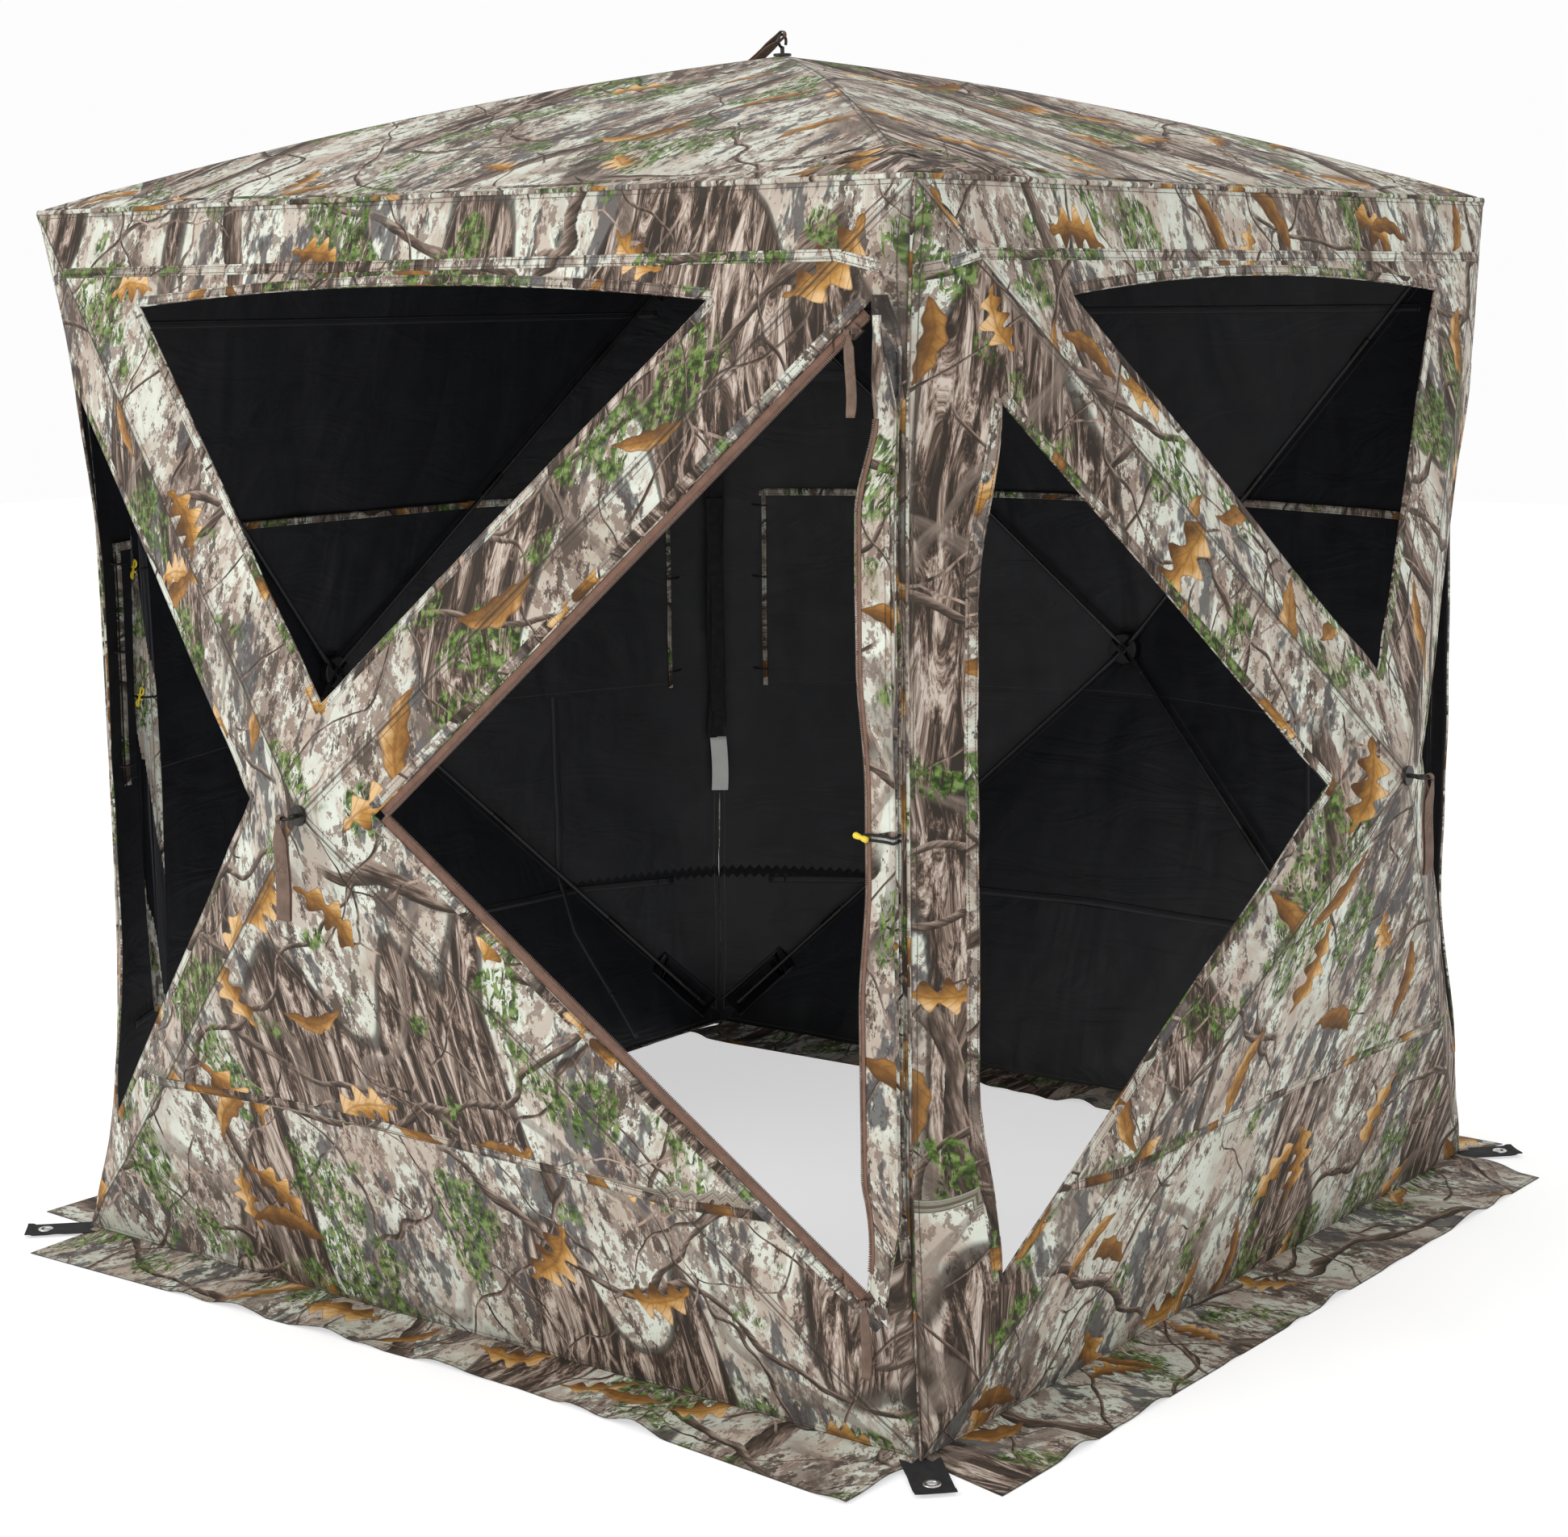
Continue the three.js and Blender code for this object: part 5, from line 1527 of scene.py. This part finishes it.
def add_cover_bundle():
    def section(height):
        t = (height - COVER_FROM) / (COVER_TO - COVER_FROM)
        size = 0.6 + 0.4 * math.sin(math.pi * t)
        return COVER_ACROSS * size, COVER_THROUGH * size, COVER_AT, COVER_AT
    levels = stepped(COVER_FROM, COVER_TO, 80)
    piece = add_bundle("left_window_cover_gathered", levels, section, 4, 5.0, "left_window_cover",
                       lambda k, r: math.sin(9 * r + 6.28 * k) > 0.15)
    for k, height in enumerate((0.985, 0.800)):
        hook = Build()
        path = []
        for q in range(25):
            a = math.pi * (q / 12 - 1)
            bend = 0.0062
            if q <= 12:
                path.append((bend * math.cos(a * 1.1 + 1.2), 0.0, 0.009 + bend * math.sin(a * 1.1 + 1.2)))
            else:
                path.append((-bend * math.cos(a * 1.1 - 1.2), 0.0, -0.009 + bend * math.sin(a * 1.1 - 1.2)))
        place = Matrix.Translation((COVER_AT + 0.006, COVER_AT - 0.0155, height)) @ Matrix.Rotation(0.4 * k, 4, "Z")
        wire(hook, path, 0.0015, 8, place=place)
        band = Build()
        t = (height - COVER_FROM) / (COVER_TO - COVER_FROM)
        size = 0.6 + 0.4 * math.sin(math.pi * t)
        ring = [(COVER_AT + math.cos(a) * (COVER_ACROSS * size / 2 + 0.001) * 1.06,
                 COVER_AT + math.sin(a) * (COVER_THROUGH * size / 2 + 0.001) * 1.12, height)
                for a in circle(36)]
        wire(band, ring, 0.0016, 8, True)
        add_piece(f"window_cover_hook_{k + 1}", hook, "yellow")
        add_piece(f"window_cover_elastic_{k + 1}", band, "black_webbing")


# ---- the inner curtains, their bindings and toggles ----
CURTAIN_FROM, CURTAIN_TO, CURTAIN_HALF, CURTAIN_BEHIND, CURTAIN_HOLE = 0.655, 1.015, 0.640, 0.006, 0.031


def curtain_point(tag, u, v, seed, lift=0.0):
    hold = smooth((CURTAIN_HALF - abs(u)) / 0.03)
    wall = touch(tag, u, v)
    out = -HALF - wall[0].y if wall else facet_out(u, v)
    sag = max(0.0, noise.noise(Vector((u * 5, v * 6, seed))) * 0.006
              + noise.noise(Vector((u * 16, v * 5, seed + 4))) * 0.0022)
    return wall_point(u, min(out, facet_out(u, v)) - CURTAIN_BEHIND - sag * hold - lift, v)


def add_curtain(tag, turn):
    build = Build()
    build.grid([[(curtain_point(tag, u, v, turn * 3.0), (u + 20 + turn, v))
                 for u in stepped(-CURTAIN_HALF, CURTAIN_HALF, 128)] for v in stepped(CURTAIN_FROM, CURTAIN_TO, 36)])
    bm = surface(build, lambda p: min(CURTAIN_HALF - abs(p.x), p.z - CURTAIN_FROM, CURTAIN_TO - p.z),
                 Vector((0, -1, 0)), lambda middle: math.hypot(middle.x, middle.z - HUB_Z) < CURTAIN_HOLE)
    area = sum(f.calc_area() for f in bm.faces)
    spin = turned(turn)
    piece = shell(f"{tag}_curtain_cloth", bm, 0.0009, ["lining", "lining"], spin)
    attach(piece, "root")
    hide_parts(f"{tag}_curtain")
    edges = Build()
    lines = [[(u / 60 * 2 * CURTAIN_HALF - CURTAIN_HALF, CURTAIN_TO - 0.006) for u in range(61)],
             [(-CURTAIN_HALF + 0.006, v) for v in stepped(CURTAIN_FROM, CURTAIN_TO, 24)],
             [(CURTAIN_HALF - 0.006, v) for v in stepped(CURTAIN_FROM, CURTAIN_TO, 24)]]
    for n, line in enumerate(lines):
        path = [curtain_point(tag, u, v, turn * 3.0, 0.0010) for u, v in line]
        across = (0, 0, 1) if n == 0 else (1, 0, 0)
        strap(edges, path, across, 0.0125, 0.0030)
    edges.cloth = [[(p[0] + 3.0 + turn, p[1] + 1.0) for p in spots] for spots in edges.cloth]
    trim = to_object(f"{tag}_curtain_binding", edges.bm(), ["camo_tape"], spin)
    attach(trim, "root")
    toggles = Build()
    for side in (-1, 1):
        for v in (CURTAIN_FROM + 0.030, (CURTAIN_FROM + CURTAIN_TO) / 2 + 0.02, CURTAIN_TO - 0.030):
            p = curtain_point(tag, side * (CURTAIN_HALF - 0.004), v, turn * 3.0, 0.004)
            hook = [p + Vector((side * x, y, z)) for x, y, z in (
                (-0.012, 0.000, 0), (-0.004, 0.003, 0), (0.006, 0.004, 0), (0.015, 0.004, 0.001), (0.020, 0.002, 0.004),
                (0.018, -0.001, 0.008))]
            wire(toggles, hook, 0.0017, 8)
    pegs = to_object(f"{tag}_curtain_toggles", toggles.bm(), ["hub"], spin)
    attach(pegs, "root")
    # the cloth's mesh has about 6.5 % more area than its flat span: it follows the wall's slanted facets
    for made in (piece, trim, pegs):
        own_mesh(made)


def add_hanging_strap():
    """A folded strap hangs in the back left corner, with a blank tag below it."""
    at = Vector((-0.700, 0.690))
    build = Build()
    for k, (dx, dy, top, bottom) in enumerate(((0.000, 0.000, 1.060, 0.560), (0.005, -0.004, 1.050, 0.610),
                                               (0.010, -0.001, 1.062, 0.580), (0.004, 0.006, 1.040, 0.640))):
        path = []
        for q in range(31):
            z = mix(top, bottom, q / 30)
            path.append((at.x + dx + 0.003 * math.sin(z * 21 + k * 1.7), at.y + dy + 0.003 * math.cos(z * 17 + k), z))
        strap(build, path, (0.7, 0.7, 0), 0.024, 0.0020)
    piece = add_piece("corner_hanging_strap", build, "black_webbing")
    ring = Build()
    wire(ring, [(at.x + 0.006 + 0.013 * math.cos(a), at.y + 0.013 * math.sin(a), 1.000)
                for a in circle(28)], 0.0022, 8, True)
    tie = add_piece("corner_strap_tie", ring, "black_webbing")
    tag = Build()
    path = [(at.x + 0.004 + 0.004 * math.sin(q / 12 * 2.5), at.y + 0.002, mix(0.562, 0.462, q / 12)) for q in range(13)]
    strap(tag, path, (0.8, 0.6, 0), 0.030, 0.0008)
    label = add_piece("corner_blank_tag", tag, "label")


# ---- the frame's own materials ----
NODE_LOOKS = (("_hub", "hub"), ("_hook_bolt", "steel"), ("_rod_", "rod"), ("door_slider", "slider"))


def dress_nodes():
    for name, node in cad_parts.items():
        for part, look in NODE_LOOKS:
            if name.endswith(part) or (part in ("_rod_", "door_slider") and part in name):
                node.data.materials.clear()
                node.data.materials.append(LOOK[look])
                for face in node.data.polygons:
                    face.material_index = 0


# ---- stage, light and camera ----
def stage():
    floor = bpy.data.objects.new("floor", bpy.data.meshes.new("floor"))
    bm = bmesh.new()
    bmesh.ops.create_grid(bm, x_segments=1, y_segments=1, size=14)
    bm.to_mesh(floor.data)
    bm.free()
    bpy.context.scene.collection.objects.link(floor)
    look = Look("floor_pale")
    colour = look.ramp(look.noise3(look.node("TexCoord").outputs["Object"], 3), (0.3, rgb(190, 190, 190)),
                       (0.7, rgb(196, 196, 196)))
    floor.data.materials.append(look.finish(colour, 0.9, None, Specular_IOR_Level=0.1, Emission_Strength=0.56,
                                            Emission_Color=(1.0, 1.0, 1.0, 1.0)))
    floor.location.z = -0.0002
    world = bpy.data.worlds.new("studio")
    world.use_nodes = True
    world.node_tree.nodes["Background"].inputs["Color"].default_value = (1.0, 1.0, 1.0, 1.0)
    world.node_tree.nodes["Background"].inputs["Strength"].default_value = 0.98
    bpy.context.scene.world = world


def lamp(name, place, target, size, power, colour=(1, 1, 1)):
    light = bpy.data.lights.new(name, "AREA")
    light.energy, light.size, light.color = power, size, colour
    made = bpy.data.objects.new(name, light)
    made.location = place
    made.rotation_euler = (Vector(target) - Vector(place)).to_track_quat("-Z", "Y").to_euler()
    bpy.context.scene.collection.objects.link(made)


def studio():
    lamp("key", (-2.6, -5.6, 4.2), (0.0, -0.4, 0.7), 3.0, 150, (1.0, 0.985, 0.965))
    lamp("fill", (5.2, -3.4, 3.0), (0.2, 0.0, 0.7), 4.0, 20, (0.97, 0.985, 1.0))
    lamp("top", (0.5, 0.5, 6.0), (0.0, 0.0, 1.0), 4.0, 20)
    lamp("inside", (0.9, -3.6, 0.9), (-0.2, 0.4, 0.8), 1.4, 8)


def add_camera():
    azimuth, elevation, roll = math.radians(37.436), math.radians(9.33), math.radians(-0.753)
    target, far = Vector((-0.0089, -0.0069, 0.6602)), 4.3105
    right = Vector((math.cos(azimuth), math.sin(azimuth), 0))
    back = Vector((math.sin(azimuth) * math.cos(elevation), -math.cos(azimuth) * math.cos(elevation),
                   math.sin(elevation)))
    up = back.cross(right)
    x = right * math.cos(roll) + up * math.sin(roll)
    y = up * math.cos(roll) - right * math.sin(roll)
    data = bpy.data.cameras.new("camera")
    data.lens, data.sensor_width, data.sensor_fit = 65.88, 36.0, "HORIZONTAL"
    made = bpy.data.objects.new("camera", data)
    made.matrix_world = Matrix((x, y, back)).transposed().to_4x4()
    made.location = target + back * far
    bpy.context.scene.collection.objects.link(made)
    bpy.context.scene.camera = made
    bpy.context.scene.view_settings.view_transform = "Standard"


add_camera()
stage()
studio()
dress_nodes()
for tag, turn, openings in WALLS:
    add_panel(tag, turn, wall_surface(turn, openings), (1.33, 1.32), f"{tag}_wall")
    add_wall_trims(tag, turn, openings)
add_panel("roof", 0, roof_surface(), (1.42, 1.42), "roof")
add_roof_trims()
rod_piping()
add_skirts()
add_stake_tabs()
add_zips()
add_door_bundle()
add_cover_bundle()
for tag, turn, _ in WALLS:
    add_pull_strap(tag, turn, 0.125)
    add_rod_fittings(tag, turn)
add_pull_strap("roof", None, 0.072)
add_rod_fittings("roof", None)
for tag, turn, openings in WALLS:
    if not openings:
        add_curtain(tag, turn)
add_hanging_strap()
